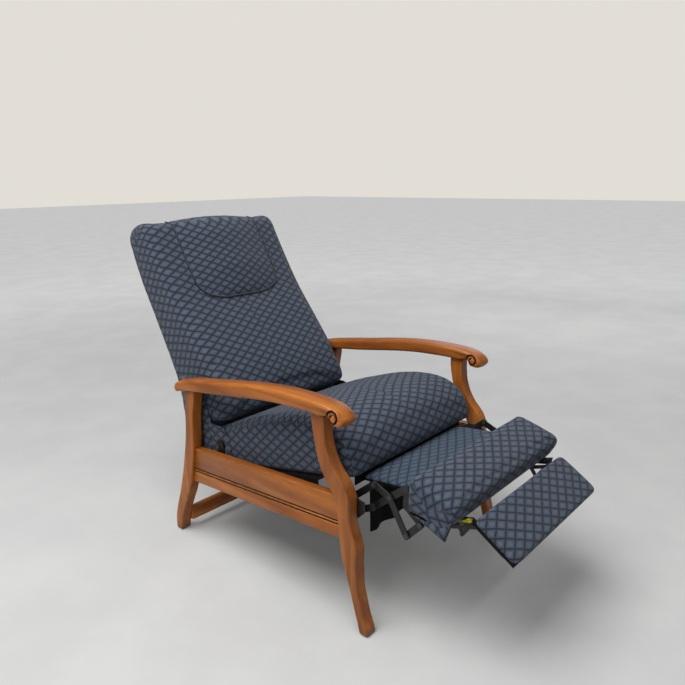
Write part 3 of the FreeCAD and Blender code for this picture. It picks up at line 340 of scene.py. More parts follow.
@dataclass(frozen=True)
class PlainCloth:
    """Plain woven cloth, such as lining, dust cloth or piping."""

    name: str
    colour: tuple
    dust: tuple
    thread: float = 900.0
    sheen: float = 0.2

    def material(self) -> bpy.types.Material:
        """Crossed threads with lint and faint creases."""
        book = Book(self.name)
        waves = []
        for direction in ("X", "Y", "Z"):
            wave = book.node("ShaderNodeTexWave", bands_direction=direction)
            book.feed(book.place(), wave, "Vector")
            wave.inputs["Scale"].default_value = self.thread / 3
            wave.inputs["Distortion"].default_value = 0.6
            waves.append(wave.outputs["Fac"])
        weave = book.sum("MAXIMUM", book.sum("MAXIMUM", waves[0], waves[1]), waves[2])
        lint = book.ramp(book.noise(book.place(), 240.0, 3.0, 0.7), 0.62, 0.80)
        cloud = book.noise(book.place(), 14.0, 3.0)
        colour = book.blend(book.times(book.ramp(cloud, 0.35, 0.8), 0.35), self.colour, self.dust)
        colour = book.blend(book.times(lint, 0.5), colour, self.dust)
        return book.finish(colour, book.ramp(weave, 0.0, 1.0, 0.78, 0.95), book.bump(weave, 0.0004),
                           Sheen_Weight=self.sheen, Specular_IOR_Level=0.2)


@dataclass(frozen=True)
class PaintedSteel:
    """Black painted flat steel with rubbed, bright arrises."""

    name: str
    paint: tuple = tone(13, 13, 15)
    bare: tuple = tone(120, 118, 116)
    rub: float = 0.6

    def material(self) -> bpy.types.Material:
        """Paint, rubbed edges and dull dust."""
        book = Book(self.name)
        near, rounded = book.edges(0.0011)
        scuffs = book.noise(book.place(), 120.0, 4.0, 0.7)
        streaks = book.noise(book.place(scale=(1, 1, 0.2)), 340.0, 3.0)
        wear = book.times(book.ramp(near, 0.03, 0.3), book.ramp(scuffs, 0.46, 0.60, 0.0, self.rub))
        nicks = book.ramp(book.noise(book.place(), 300.0, 2.0), 0.74, 0.80, 0.0, 0.5)
        wear = book.sum("MAXIMUM", wear, nicks)
        dust = book.ramp(book.noise(book.place(), 30.0, 4.0), 0.45, 0.8, 0.0, 0.07)
        colour = book.blend(dust, self.paint, tone(118, 112, 104))
        colour = book.blend(wear, colour, self.bare)
        rough = book.ramp(streaks, 0.3, 0.7, 0.34, 0.52)
        book.feed(book.ramp(wear, 0.2, 0.8), book.shader, "Metallic")
        return book.finish(colour, rough, book.bump(book.times(streaks, 0.5), 0.00012, rounded))


@dataclass(frozen=True)
class PlatedSteel:
    """Zinc plated or bright steel."""

    name: str
    colour: tuple
    tint: tuple
    rough: float = 0.32

    def material(self) -> bpy.types.Material:
        """Cloudy plating with fine draw lines."""
        book = Book(self.name)
        near, rounded = book.edges(0.0008)
        cloud = book.noise(book.place(), 90.0, 4.0, 0.6)
        lines = book.noise(book.place(scale=(1, 0.08, 1)), 900.0, 2.0)
        colour = book.blend(book.ramp(cloud, 0.3, 0.7), self.colour, self.tint)
        colour = book.blend(book.times(book.ramp(near, 0.05, 0.4), 0.3), colour, tone(214, 212, 208))
        rough = book.ramp(book.plus(lines, cloud), 0.6, 1.4, self.rough - 0.08, self.rough + 0.14)
        return book.finish(colour, rough, book.bump(lines, 0.00008, rounded), Metallic=0.9)


@dataclass(frozen=True)
class RawBoard:
    """Softwood or pressed board that stays out of sight."""

    name: str
    colour: tuple
    vein: tuple
    stretch: tuple = (0.08, 1, 1)

    def material(self) -> bpy.types.Material:
        """Saw marks, veins and fuzz."""
        book = Book(self.name)
        run = book.place(scale=self.stretch)
        veins = book.noise(run, 60.0, 5.0, 0.6, 1.2)
        fuzz = book.noise(book.place(), 600.0, 2.0)
        saw = book.noise(book.place(scale=(1, 1, 0.15)), 260.0, 2.0)
        colour = book.blend(book.ramp(veins, 0.35, 0.7), self.colour, self.vein)
        _, rounded = book.edges(0.0012)
        return book.finish(colour, book.ramp(fuzz, 0.3, 0.7, 0.7, 0.9),
                           book.bump(book.plus(saw, fuzz), 0.0002, rounded), Specular_IOR_Level=0.25)


class Finishes:
    """Every material of the chair, made once."""

    def __init__(self) -> None:
        """Make the finishes."""
        self.upright = LacqueredHardwood("lacquered_hardwood_legs", Grain.UPRIGHT).material()
        self.lengthwise = LacqueredHardwood("lacquered_hardwood_arms", Grain.FORE_AND_AFT).material()
        self.crosswise = LacqueredHardwood("lacquered_hardwood_stretcher", Grain.SIDE_TO_SIDE).material()
        self.stained = LacqueredHardwood(
            "dark_stained_softwood", Grain.SIDE_TO_SIDE, light=tone(66, 42, 26), middle=tone(54, 33, 20),
            deep=tone(40, 24, 15), worn=tone(92, 64, 42)).material()
        # Painted shade: a dark finish for the carved grooves of the rails and armrests, where shade falls.
        self.groove = PlainCloth(
            "painted_shade_in_grooves", tone(46, 24, 12), tone(76, 44, 26), 300.0, 0.0).material()
        self.chenille = ChenilleLattice("lattice_chenille").material()
        # The flap's cloth is a shaded copy of the chenille, and its teal tint is painted shade.
        self.flap = ChenilleLattice("lattice_chenille_flap_painted_shade", painted_shade_share=0.45).material()
        self.piping = PlainCloth("navy_piping", tone(22, 28, 44), tone(60, 68, 86), 1600.0, 0.3).material()
        # Black lining cloth. On the legrest, flipper and filler boards it also stands as painted shade.
        self.lining = PlainCloth("black_lining_and_painted_shade", tone(9, 9, 12), tone(26, 26, 30), sheen=0.0).material()
        self.dust = PlainCloth("dust_cloth", tone(26, 26, 30), tone(90, 90, 92), 1400.0).material()
        self.rear_cloth = PlainCloth(
            "navy_panel_cloth", tone(36, 44, 62), tone(82, 90, 108), 1100.0, 0.35).material()
        self.black = PaintedSteel("black_painted_steel").material()
        self.dull = PaintedSteel("dull_rivet_steel", tone(52, 51, 50), tone(128, 126, 122), 0.6).material()
        self.bright = PlatedSteel("bright_zinc", tone(176, 176, 176), tone(140, 142, 146)).material()
        self.spring = PlatedSteel("oiled_spring_steel", tone(74, 72, 70), tone(52, 50, 50), 0.4).material()
        self.yellow = PlatedSteel("yellow_zinc", tone(196, 188, 40), tone(150, 150, 44), 0.36).material()
        self.pine = RawBoard("raw_softwood", tone(206, 170, 118), tone(168, 124, 74)).material()
        self.board = RawBoard("pressed_board", tone(134, 98, 62), tone(104, 74, 46), (1, 1, 1)).material()
        self.nylon = RawBoard("nylon_glide", tone(40, 38, 36), tone(66, 62, 58), (1, 1, 1)).material()
        self.by_slot = {"hardwood": self.upright, "pine": self.pine, "board": self.board,
                        "chenille": self.chenille, "flap_cloth": self.flap, "panel_cloth": self.rear_cloth,
                        "dust_cloth": self.dust, "curtain_cloth": self.lining, "black_steel": self.black,
                        "bright_steel": self.bright, "spring_steel": self.spring,
                        "yellow_zinc": self.yellow, "glide": self.nylon}
        # The legrest, flipper and filler boards take the black lining as painted shade under the pads' lower
        # edges.
        self.by_node = {"legrest_board": self.lining, "flipper_board": self.lining, "filler_board": self.lining,
                        "seat_frame_rails": self.lining, "control_links": self.black, "cross_rivets": self.dull,
                        "legrest_rivets": self.dull, "base_studs": self.dull, "base_bolts": self.dull,
                        "back_bolts": self.dull}

    def dress_nodes(self) -> None:
        """Give each carried-over solid its own finish or that of its slot."""
        for name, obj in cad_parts.items():
            for index, held in enumerate(obj.material_slots):
                key = held.material.name.split(".")[0] if held.material else ""
                found = self.by_node.get(name, self.by_slot.get(key))
                if found is None:
                    LOG.warning("no finish for %s on %s", key, name)
                    found = self.black
                obj.material_slots[index].material = found


# Mesh helpers

def new_piece(name: str, verts: list, faces: list, material: bpy.types.Material,
              smooth: bool = True) -> bpy.types.Object:
    """Make an object at the origin from points and faces."""
    mesh = bpy.data.meshes.new(name)
    mesh.from_pydata([tuple(v) for v in verts], [], faces)
    mesh.update()
    return mesh_piece(name, mesh, material, smooth)


def mesh_piece(name: str, mesh: bpy.types.Mesh, material: bpy.types.Material,
               smooth: bool = True) -> bpy.types.Object:
    """Link a mesh as a piece, with its faces turned outwards."""
    shaped = bmesh.new()
    shaped.from_mesh(mesh)
    bmesh.ops.recalc_face_normals(shaped, faces=shaped.faces)
    shaped.to_mesh(mesh)
    shaped.free()
    dressed(mesh, material, smooth)
    obj = bpy.data.objects.new(name, mesh)
    bpy.context.scene.collection.objects.link(obj)
    return obj


def dressed(mesh: bpy.types.Mesh, material: bpy.types.Material, smooth: bool = True) -> None:
    """Give a mesh its one finish and its shading."""
    mesh.materials.clear()
    mesh.materials.append(material)
    for polygon in mesh.polygons:
        polygon.use_smooth = smooth


def mount(obj: bpy.types.Object, body: str) -> None:
    """Let a finished piece ride on a body, and log it."""
    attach(obj, body)
    LOG.info("piece %s rides on %s", obj.name, body)


def settled(obj: bpy.types.Object) -> bpy.types.Object:
    """Turn an object's live modifiers into plain mesh."""
    graph = bpy.context.evaluated_depsgraph_get()
    mesh = bpy.data.meshes.new_from_object(obj.evaluated_get(graph))
    obj.modifiers.clear()
    old = obj.data
    obj.data = mesh
    bpy.data.meshes.remove(old)
    mesh.name = obj.name
    return obj


def tube(name: str, points: list[Vector], radius: float, material: bpy.types.Material,
         sides: int = 8) -> bpy.types.Object:
    """Sweep a round section along points.

    Args:
        name: the piece's name.
        points: the middle line.
        radius: the section's radius.
        material: its finish.
        sides: corners of the section.

    Returns:
        The tube, closed at both ends.
    """
    verts, faces = [], []
    count = len(points)
    normal = Vector((0, 0, 1))
    for i, point in enumerate(points):
        ahead = points[i + 1] if i + 1 < count else point
        behind = points[i - 1] if i > 0 else point
        run = (ahead - behind).normalized()
        normal = normal - run * normal.dot(run)
        if normal.length < 1e-4:
            normal = run.orthogonal()
        normal.normalize()
        other = run.cross(normal)
        for k in range(sides):
            angle = 2 * math.pi * k / sides
            verts.append(point + (normal * math.cos(angle) + other * math.sin(angle)) * radius)
    for i in range(count - 1):
        for k in range(sides):
            a, b = i * sides + k, i * sides + (k + 1) % sides
            faces.append((a, b, b + sides, a + sides))
    faces.append(tuple(range(sides)))
    faces.append(tuple(range(len(verts) - sides, len(verts))))
    return new_piece(name, verts, faces, material)


def cut_away(obj: bpy.types.Object, cutter: bpy.types.Object, finish_mode: str = "INDEX") -> None:
    """Cut a solid out of a piece; TRANSFER gives the cut faces the solid's own finish."""
    cut = obj.modifiers.new("cut", "BOOLEAN")
    cut.operation = "DIFFERENCE"
    cut.solver = "EXACT"
    cut.material_mode = finish_mode
    cut.object = cutter
    settled(obj)
    bpy.data.objects.remove(cutter)


def run_lengths(points: list[Place]) -> list[float]:
    """How far along a run each of its places lies."""
    total = [0.0]
    for a, b in zip(points, points[1:]):
        total.append(total[-1] + math.dist(a, b))
    return total


def grid_faces(rows: int, columns: int) -> list[tuple[int, int, int, int]]:
    """Faces of a grid whose points were listed row by row."""
    wide = columns + 1
    return [(r * wide + c, r * wide + c + 1, (r + 1) * wide + c + 1, (r + 1) * wide + c)
            for r in range(rows) for c in range(columns)]


def thickened(obj: bpy.types.Object, thickness: float, offset: float = -1.0) -> bpy.types.Object:
    """Give a cloth its thickness, to one side or centred on its middle."""
    thick = obj.modifiers.new("thick", "SOLIDIFY")
    thick.thickness = thickness
    thick.offset = offset
    return settled(obj)


def lay_map(obj: bpy.types.Object, rule: Callable[[float, float, float], Place]) -> None:
    """Write the weave map from each corner's side place and distance across.

    Args:
        obj: the cloth.
        rule: takes x, forward and up, and gives the place on the map.
    """
    layer = obj.data.uv_layers.new(name="weave")
    for loop in obj.data.loops:
        co = obj.data.vertices[loop.vertex_index].co
        layer.data[loop.index].uv = rule(co.x, SHIFT - co.y, co.z)


def join(name: str, objects: list[bpy.types.Object]) -> bpy.types.Object:
    """Join pieces that belong to one body into one object."""
    for obj in bpy.context.selected_objects:
        obj.select_set(False)
    for obj in objects:
        obj.select_set(True)
    bpy.context.view_layer.objects.active = objects[0]
    if len(objects) > 1:
        with bpy.context.temp_override(active_object=objects[0], selected_objects=objects,
                                       selected_editable_objects=objects):
            bpy.ops.object.join()
    objects[0].name = name
    objects[0].data.name = name
    return objects[0]


def carved(node: str, name: str, material: bpy.types.Material, voxel: float = 0.0021,
           rounds: int = 9) -> bpy.types.Object:
    """Copy a curved wooden solid as an even fine mesh whose edges are rubbed round.

    Args:
        node: the solid to stand for.
        name: the new piece's name.
        material: the finish.
        voxel: how fine the mesh is.
        rounds: how many times the edges are rubbed.

    Returns:
        The rounded piece, which replaces the solid and rides on the frame.
    """
    shaped = bmesh.new()
    shaped.from_mesh(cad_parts[node].data)
    bmesh.ops.remove_doubles(shaped, verts=shaped.verts, dist=2e-5)
    mesh = bpy.data.meshes.new(name)
    shaped.to_mesh(mesh)
    shaped.free()
    obj = mesh_piece(name, mesh, material)
    remesh = obj.modifiers.new("even", "REMESH")
    remesh.mode = "VOXEL"
    remesh.voxel_size = voxel
    rub = obj.modifiers.new("rub", "SMOOTH")
    rub.iterations = rounds
    rub.factor = 0.5
    settled(obj)
    dressed(obj.data, material)
    mount(obj, "frame")
    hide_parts(node)
    return obj


def softened(nodes: list[str], name: str, radius: float, material: bpy.types.Material,
             sharp: float = 28.0) -> bpy.types.Object:
    """Copy carried-over solids, merge their triangles and round their edges.

    Args:
        nodes: the solids to stand for.
        name: the new piece's name.
        radius: the edge round in metres.
        material: the finish.
        sharp: the angle in degrees past which an edge is rounded.

    Returns:
        The rounded piece, which replaces the solids and rides on the frame.
    """
    made = []
    for node in nodes:
        shaped = bmesh.new()
        shaped.from_mesh(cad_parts[node].data)
        bmesh.ops.remove_doubles(shaped, verts=shaped.verts, dist=2e-5)
        bmesh.ops.dissolve_limit(shaped, angle_limit=math.radians(0.6), verts=shaped.verts, edges=shaped.edges)
        mesh = bpy.data.meshes.new(name)
        shaped.to_mesh(mesh)
        shaped.free()
        obj = mesh_piece(name, mesh, material)
        if radius:
            bevel = obj.modifiers.new("round", "BEVEL")
            bevel.width = radius
            bevel.segments = 3
            bevel.limit_method = "ANGLE"
            bevel.angle_limit = math.radians(sharp)
            bevel.use_clamp_overlap = True
            settled(obj)
        made.append(obj)
    whole = join(name, made)
    whole.data.set_sharp_from_angle(angle=math.radians(38))
    mount(whole, "frame")
    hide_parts(*nodes)
    return whole


class StapleRow:
    """Lays one small staple at many places with Geometry Nodes."""

    def __init__(self, material: bpy.types.Material) -> None:
        """Build the node tree for one finish."""
        self.material = material
        self.tree = self.build()

    def build(self) -> bpy.types.NodeTree:
        """Tree with named inputs for length, width and height."""
        tree = bpy.data.node_groups.new("lay_staples", "GeometryNodeTree")
        face = tree.interface
        face.new_socket("Geometry", in_out="INPUT", socket_type="NodeSocketGeometry")
        for label in ("Length", "Width", "Height"):
            face.new_socket(label, in_out="INPUT", socket_type="NodeSocketFloat")
        face.new_socket("Geometry", in_out="OUTPUT", socket_type="NodeSocketGeometry")
        nodes, links = tree.nodes, tree.links
        given, out = nodes.new("NodeGroupInput"), nodes.new("NodeGroupOutput")
        shape = nodes.new("GeometryNodeMeshCube")
        shape.inputs["Size"].default_value = (1, 1, 1)
        size = nodes.new("ShaderNodeCombineXYZ")
        for index, label in enumerate(("Length", "Width", "Height")):
            links.new(given.outputs[label], size.inputs[index])
        lay = nodes.new("GeometryNodeInstanceOnPoints")
        turn = nodes.new("GeometryNodeInputNamedAttribute")
        turn.data_type = "FLOAT_VECTOR"
        turn.inputs["Name"].default_value = "turn"
        real = nodes.new("GeometryNodeRealizeInstances")
        dress = nodes.new("GeometryNodeSetMaterial")
        dress.inputs["Material"].default_value = self.material
        links.new(given.outputs["Geometry"], lay.inputs["Points"])
        links.new(shape.outputs["Mesh"], lay.inputs["Instance"])
        links.new(turn.outputs["Attribute"], lay.inputs["Rotation"])
        links.new(size.outputs[0], lay.inputs["Scale"])
        links.new(lay.outputs[0], real.inputs[0])
        links.new(real.outputs[0], dress.inputs[0])
        links.new(dress.outputs[0], out.inputs[0])
        return tree

    def lay(self, name: str, body: str, spots: list[tuple[Vector, Vector, Vector]],
            size: tuple[float, float, float]) -> bpy.types.Object:
        """Lay a staple at each spot.

        Args:
            name: the piece's name.
            body: the body it rides on.
            spots: for each staple its place, the way its length runs and the way it stands.
            size: length, width and height in metres.

        Returns:
            One plain mesh with every staple in it.
        """
        mesh = bpy.data.meshes.new(name)
        mesh.from_pydata([tuple(spot[0]) for spot in spots], [], [])
        turns = mesh.attributes.new("turn", "FLOAT_VECTOR", "POINT")
        for index, (_, run, stand) in enumerate(spots):
            z = stand.normalized()
            x = run - z * run.dot(z)
            x = x.normalized() if x.length > 1e-6 else z.orthogonal().normalized()
            basis = Matrix((x, z.cross(x), z)).transposed()
            turns.data[index].vector = basis.to_euler()
        obj = bpy.data.objects.new(name, mesh)
        bpy.context.scene.collection.objects.link(obj)
        modifier = obj.modifiers.new("lay", "NODES")
        modifier.node_group = self.tree
        ids = {item.name: item.identifier for item in self.tree.interface.items_tree
               if getattr(item, "in_out", "") == "INPUT"}
        for label, value in zip(("Length", "Width", "Height"), size):
            modifier[ids[label]] = value
        settled(obj)
        for polygon in obj.data.polygons:
            polygon.use_smooth = False
        mount(obj, body)
        return obj


# Padded pieces

SECTION: list[tuple[float, float, float]] = [
    (0.0, 0.0, 1.0), (0.35, 0.0, 0.96), (0.66, 0.0, 0.84), (0.85, 0.0, 0.7),
    (0.93, 0.06, 0.58), (0.975, 0.34, 0.42), (1.0, 0.9, 0.14)]


@dataclass(frozen=True)
class Pocket:
    """Room for a cushion's inner wooden frame, along the pad and square to it."""

    start: float
    length: float
    rise: float
    depth: float
    half: float


@dataclass
class Pad:
    """A sewn pad whose side outline is drawn in and crowned from side to side."""

    name: str
    shares: Shares
    origin: Place
    angle: float
    length: float
    height: float
    half_width: float
    edge_round: float
    crowns: Place
    corner_drop: float = 0.0
    shrink: float = 0.0
    voxel: float = 0.007
    swell: float = 0.0
    growth: float = -0.02
    dent: float = 0.002
    side_hold: float = 0.8
    boxed: float = 0.0
    covered: Place = (0.0, 1.0)
    full_edge: float = 1.0

    def section(self, across: float) -> list[Place]:
        """Outline at a share of the half width, with its own draw-in and crown."""
        share = min(abs(across), 1.0)
        table = SECTION
        index = next(i for i in range(len(table) - 1) if share <= table[i + 1][0] + 1e-9)
        (w0, i0, c0), (w1, i1, c1) = table[index], table[index + 1]
        t = (share - w0) / (w1 - w0)
        inset, swell = (i0 + (i1 - i0) * t) * self.full_edge, c0 + (c1 - c0) * t
        low = min(b for _, b in self.base)
        high = max(b for _, b in self.base)
        middle = self.length / 2
        draw = inset * self.edge_round + self.shrink
        points = []
        for run, rise in self.base:
            lift = (rise - low) / (high - low)
            corner = max(0.0, 1.0 - run / middle) * self.corner_drop * inset
            crown = self.crowns[0] + (self.crowns[1] - self.crowns[0]) * run / self.length
            points.append(along(self.origin, self.angle,
                                middle + (run - middle) * (1 - draw / middle) + corner,
                                rise - lift * draw + self.shrink / 2 + lift * swell * crown))
        return points

    @property
    def base(self) -> list[Place]:
        """Outline before it is turned."""
        return [(a * self.length, b * self.height) for a, b in self.shares]

    def outline(self, across: float = 0.0, step: float = 0.008) -> list[Place]:
        """Fine outline at a share of the half width."""
        return smooth_run(self.section(across), step)

    def shell(self, material: bpy.types.Material) -> bpy.types.Object:
        """Closed mesh of the pad before it is filled."""
        shares = sorted({round(s * w, 4) for s in (-1, 1) for w in
                         (0, .12, .24, .35, .46, .56, .66, .76, .85, .9, .93, .955, .975, .99, 1.0)})
        rows = [self.outline(w) for w in shares]
        count = len(rows[0])
        rows = [self.even(row, count) for row in rows]
        verts = [at(w * (self.half_width - self.shrink), *p) for w, row in zip(shares, rows) for p in row]
        faces = []
        for r in range(len(rows) - 1):
            for k in range(count):
                a, b = r * count + k, r * count + (k + 1) % count
                faces.append((a, b, b + count, a + count))
        faces.append(tuple(range(count)))
        faces.append(tuple(range(len(verts) - count, len(verts))))
        return new_piece(self.name, verts, faces, material)

    @staticmethod
    def even(points: list[Place], count: int) -> list[Place]:
        """Share out count samples evenly over a run."""
        total = run_lengths(points)
        goals = np.linspace(0, total[-1], count)
        return list(zip(np.interp(goals, total, [p[0] for p in points]),
                        np.interp(goals, total, [p[1] for p in points])))

    def filled(self, material: bpy.types.Material) -> bpy.types.Object:
        """Remesh the shell, blow it up as cloth and cap how far it moves."""
        obj = self.shell(material)
        remesh = obj.modifiers.new("even", "REMESH")
        remesh.mode = "VOXEL"
        remesh.voxel_size = self.voxel
        settled(obj)
        relax = obj.modifiers.new("relax", "SMOOTH")
        relax.iterations = 2
        relax.factor = 0.4
        settled(obj)
        start = np.empty(len(obj.data.vertices) * 3)
        obj.data.vertices.foreach_get("co", start)
        start = start.reshape(-1, 3)
        if self.swell:
            cloth = obj.modifiers.new("fill", "CLOTH")
            settings = cloth.settings
            settings.quality = 4
            settings.mass = 0.3
            settings.tension_stiffness = 18
            settings.compression_stiffness = 18
            settings.bending_stiffness = 0.6
            settings.shrink_min = self.growth
            settings.use_pressure = True
            settings.uniform_pressure_force = 4.0
            settings.effector_weights.gravity = 0.0
            cloth.point_cache.frame_start = 1
            cloth.point_cache.frame_end = 20
            for number in range(1, 21):
                bpy.context.scene.frame_set(number)
            graph = bpy.context.evaluated_depsgraph_get()
            blown = obj.evaluated_get(graph).data
            end = np.empty(len(blown.vertices) * 3)
            blown.vertices.foreach_get("co", end)
            moved = end.reshape(-1, 3) - start
            facing = np.empty(len(obj.data.vertices) * 3)
            obj.data.vertices.foreach_get("normal", facing)
            facing = facing.reshape(-1, 3)
            inward = np.minimum(0.0, np.sum(moved * facing, axis=1, keepdims=True) + self.dent)
            moved -= inward * facing
            reach = np.linalg.norm(moved, axis=1, keepdims=True)
            cap = self.swell * (1 - self.side_hold * np.abs(facing[:, :1]) ** 2)
            moved *= np.minimum(1.0, cap / np.maximum(reach, 1e-9))
            obj.modifiers.clear()
            bpy.context.scene.frame_set(1)
            obj.data.vertices.foreach_set("co", (start + moved).ravel())
            obj.data.update()
            ease = obj.modifiers.new("ease", "SMOOTH")
            ease.iterations = 2
            settled(obj)
        fine = obj.modifiers.new("fine", "SUBSURF")
        fine.levels = fine.render_levels = 1
        settled(obj)
        dressed(obj.data, material)
        return obj

    def weave(self, obj: bpy.types.Object) -> None:
        """Write the surface map: cloth laid over the outline and wrapped round the sides.

        A boxed pad has side panels of their own, with the cloth turned.
        """
        line = self.outline(0.0, 0.003)
        total = sum(math.dist(a, b) for a, b in zip(line, line[1:]))
        tree = KDTree(len(line))
        run, runs = 0.0, []
        for index, place in enumerate(line):
            run += math.dist(line[index - 1], place) if index else 0.0
            runs.append(run)
            if self.covered[0] <= run / total <= self.covered[1]:
                tree.insert((0.0, *place), index)
        tree.balance()
        mesh = obj.data
        layer = mesh.uv_layers.new(name="weave")
        laid = []
        for vertex in mesh.vertices:
            f, u = SHIFT - vertex.co.y, vertex.co.z
            _, index, deep = tree.find((0.0, f, u))
            f0, u0 = line[max(0, index - 1)]
            f1, u1 = line[min(len(line) - 1, index + 1)]
            span = max(math.dist((f0, u0), (f1, u1)), 1e-6)
            part = ((f - f0) * (f1 - f0) + (u - u0) * (u1 - u0)) / span
            laid.append((runs[max(0, index - 1)] + part,
                         vertex.co.x + math.copysign(max(0.0, deep - 0.004), vertex.co.x)))
        turn = math.radians(self.angle)
        edge = self.half_width - self.boxed
        for polygon in mesh.polygons:
            side = self.boxed and abs(polygon.center.x) > edge
            corners = [laid[mesh.loops[i].vertex_index][0] for i in polygon.loop_indices]
            torn = max(corners) - min(corners) > 0.08
            for i in polygon.loop_indices:
                co = mesh.vertices[mesh.loops[i].vertex_index].co
                f, u = SHIFT - co.y, co.z
                if side:
                    layer.data[i].uv = (u * math.cos(turn) - f * math.sin(turn),
                                        f * math.cos(turn) + u * math.sin(turn))
                else:
                    here = laid[mesh.loops[i].vertex_index]
                    layer.data[i].uv = (max(corners) if torn else here[0], here[1])

    def hollowed(self, obj: bpy.types.Object, pocket: Pocket) -> None:
        """Cut the pocket that holds the inner wooden frame."""
        rear, front = pocket.start, pocket.start + pocket.length
        low, high = pocket.rise, pocket.rise + pocket.depth
        corners = [along(self.origin, self.angle, run, rise) for run, rise in
                   ((rear, low), (front, low), (front, high), (rear, high))]
        verts = [at(x, *p) for x in (-pocket.half, pocket.half) for p in corners]
        faces = [(0, 1, 2, 3), (4, 5, 6, 7)] + [(k, (k + 1) % 4, (k + 1) % 4 + 4, k + 4) for k in range(4)]
        cutter = new_piece(self.name + "_pocket", verts, faces, obj.data.materials[0])
        cut_away(obj, cutter)


def surface_of(obj: bpy.types.Object) -> BVHTree:
    """Search tree of an object's faces."""
    return BVHTree.FromObject(obj, bpy.context.evaluated_depsgraph_get())


SEAT_SHARES: Shares = [
    (0.992, 0.0), (1.0, 0.1), (0.999, 0.26), (0.985, 0.44), (0.952, 0.62), (0.905, 0.76), (0.84, 0.862),
    (0.76, 0.925), (0.68, 0.955), (0.56, 0.952), (0.36, 0.885), (0.18, 0.772), (0.09, 0.708), (0.05, 0.67),
    (0.036, 0.6), (0.011, 0.327), (0.0, 0.0)]
BACK_SHARES: Shares = [
    (0.932, -0.226), (0.967, -0.161), (0.983, 0.036), (0.986, 0.289), (0.977, 0.546), (0.963, 0.742),
    (0.97, 0.89), (0.967, 0.96), (0.939, 0.999), (0.873, 1.007), (0.768, 0.965), (0.61, 0.81), (0.42, 0.62),
    (0.26, 0.53), (0.118, 0.478), (0.05, 0.45), (0.014, 0.38), (-0.002, 0.23), (0.0, 0.04), (0.03, -0.08),
    (0.11, -0.14), (0.258, -0.15), (0.468, -0.085), (0.66, -0.035), (0.76, -0.045), (0.86, -0.148)]
PANEL_SHARES: Shares = [
    (0.815, 0.11), (0.86, 0.3), (0.93, 0.56), (0.955, 0.7), (0.935, 0.79), (0.86, 0.85), (0.65, 0.905),
    (0.35, 0.95), (0.08, 0.98), (-0.02, 0.965), (-0.06, 0.88), (-0.042, 0.6), (-0.008, 0.3), (0.02, 0.11)]
FLIPPER_SHARES: Shares = [
    (0.985, 0.34), (1.0, 0.55), (0.985, 0.8), (0.93, 0.96), (0.5, 1.0), (0.08, 0.96), (0.012, 0.8),
    (0.0, 0.55), (0.015, 0.34)]
FILLER_SHARES: Shares = [
    (0.99, 0.3), (1.0, 0.55), (0.98, 0.85), (0.9, 0.98), (0.5, 1.0), (0.1, 0.98), (0.02, 0.85), (0.0, 0.55),
    (0.01, 0.3)]


# Sub-assemblies

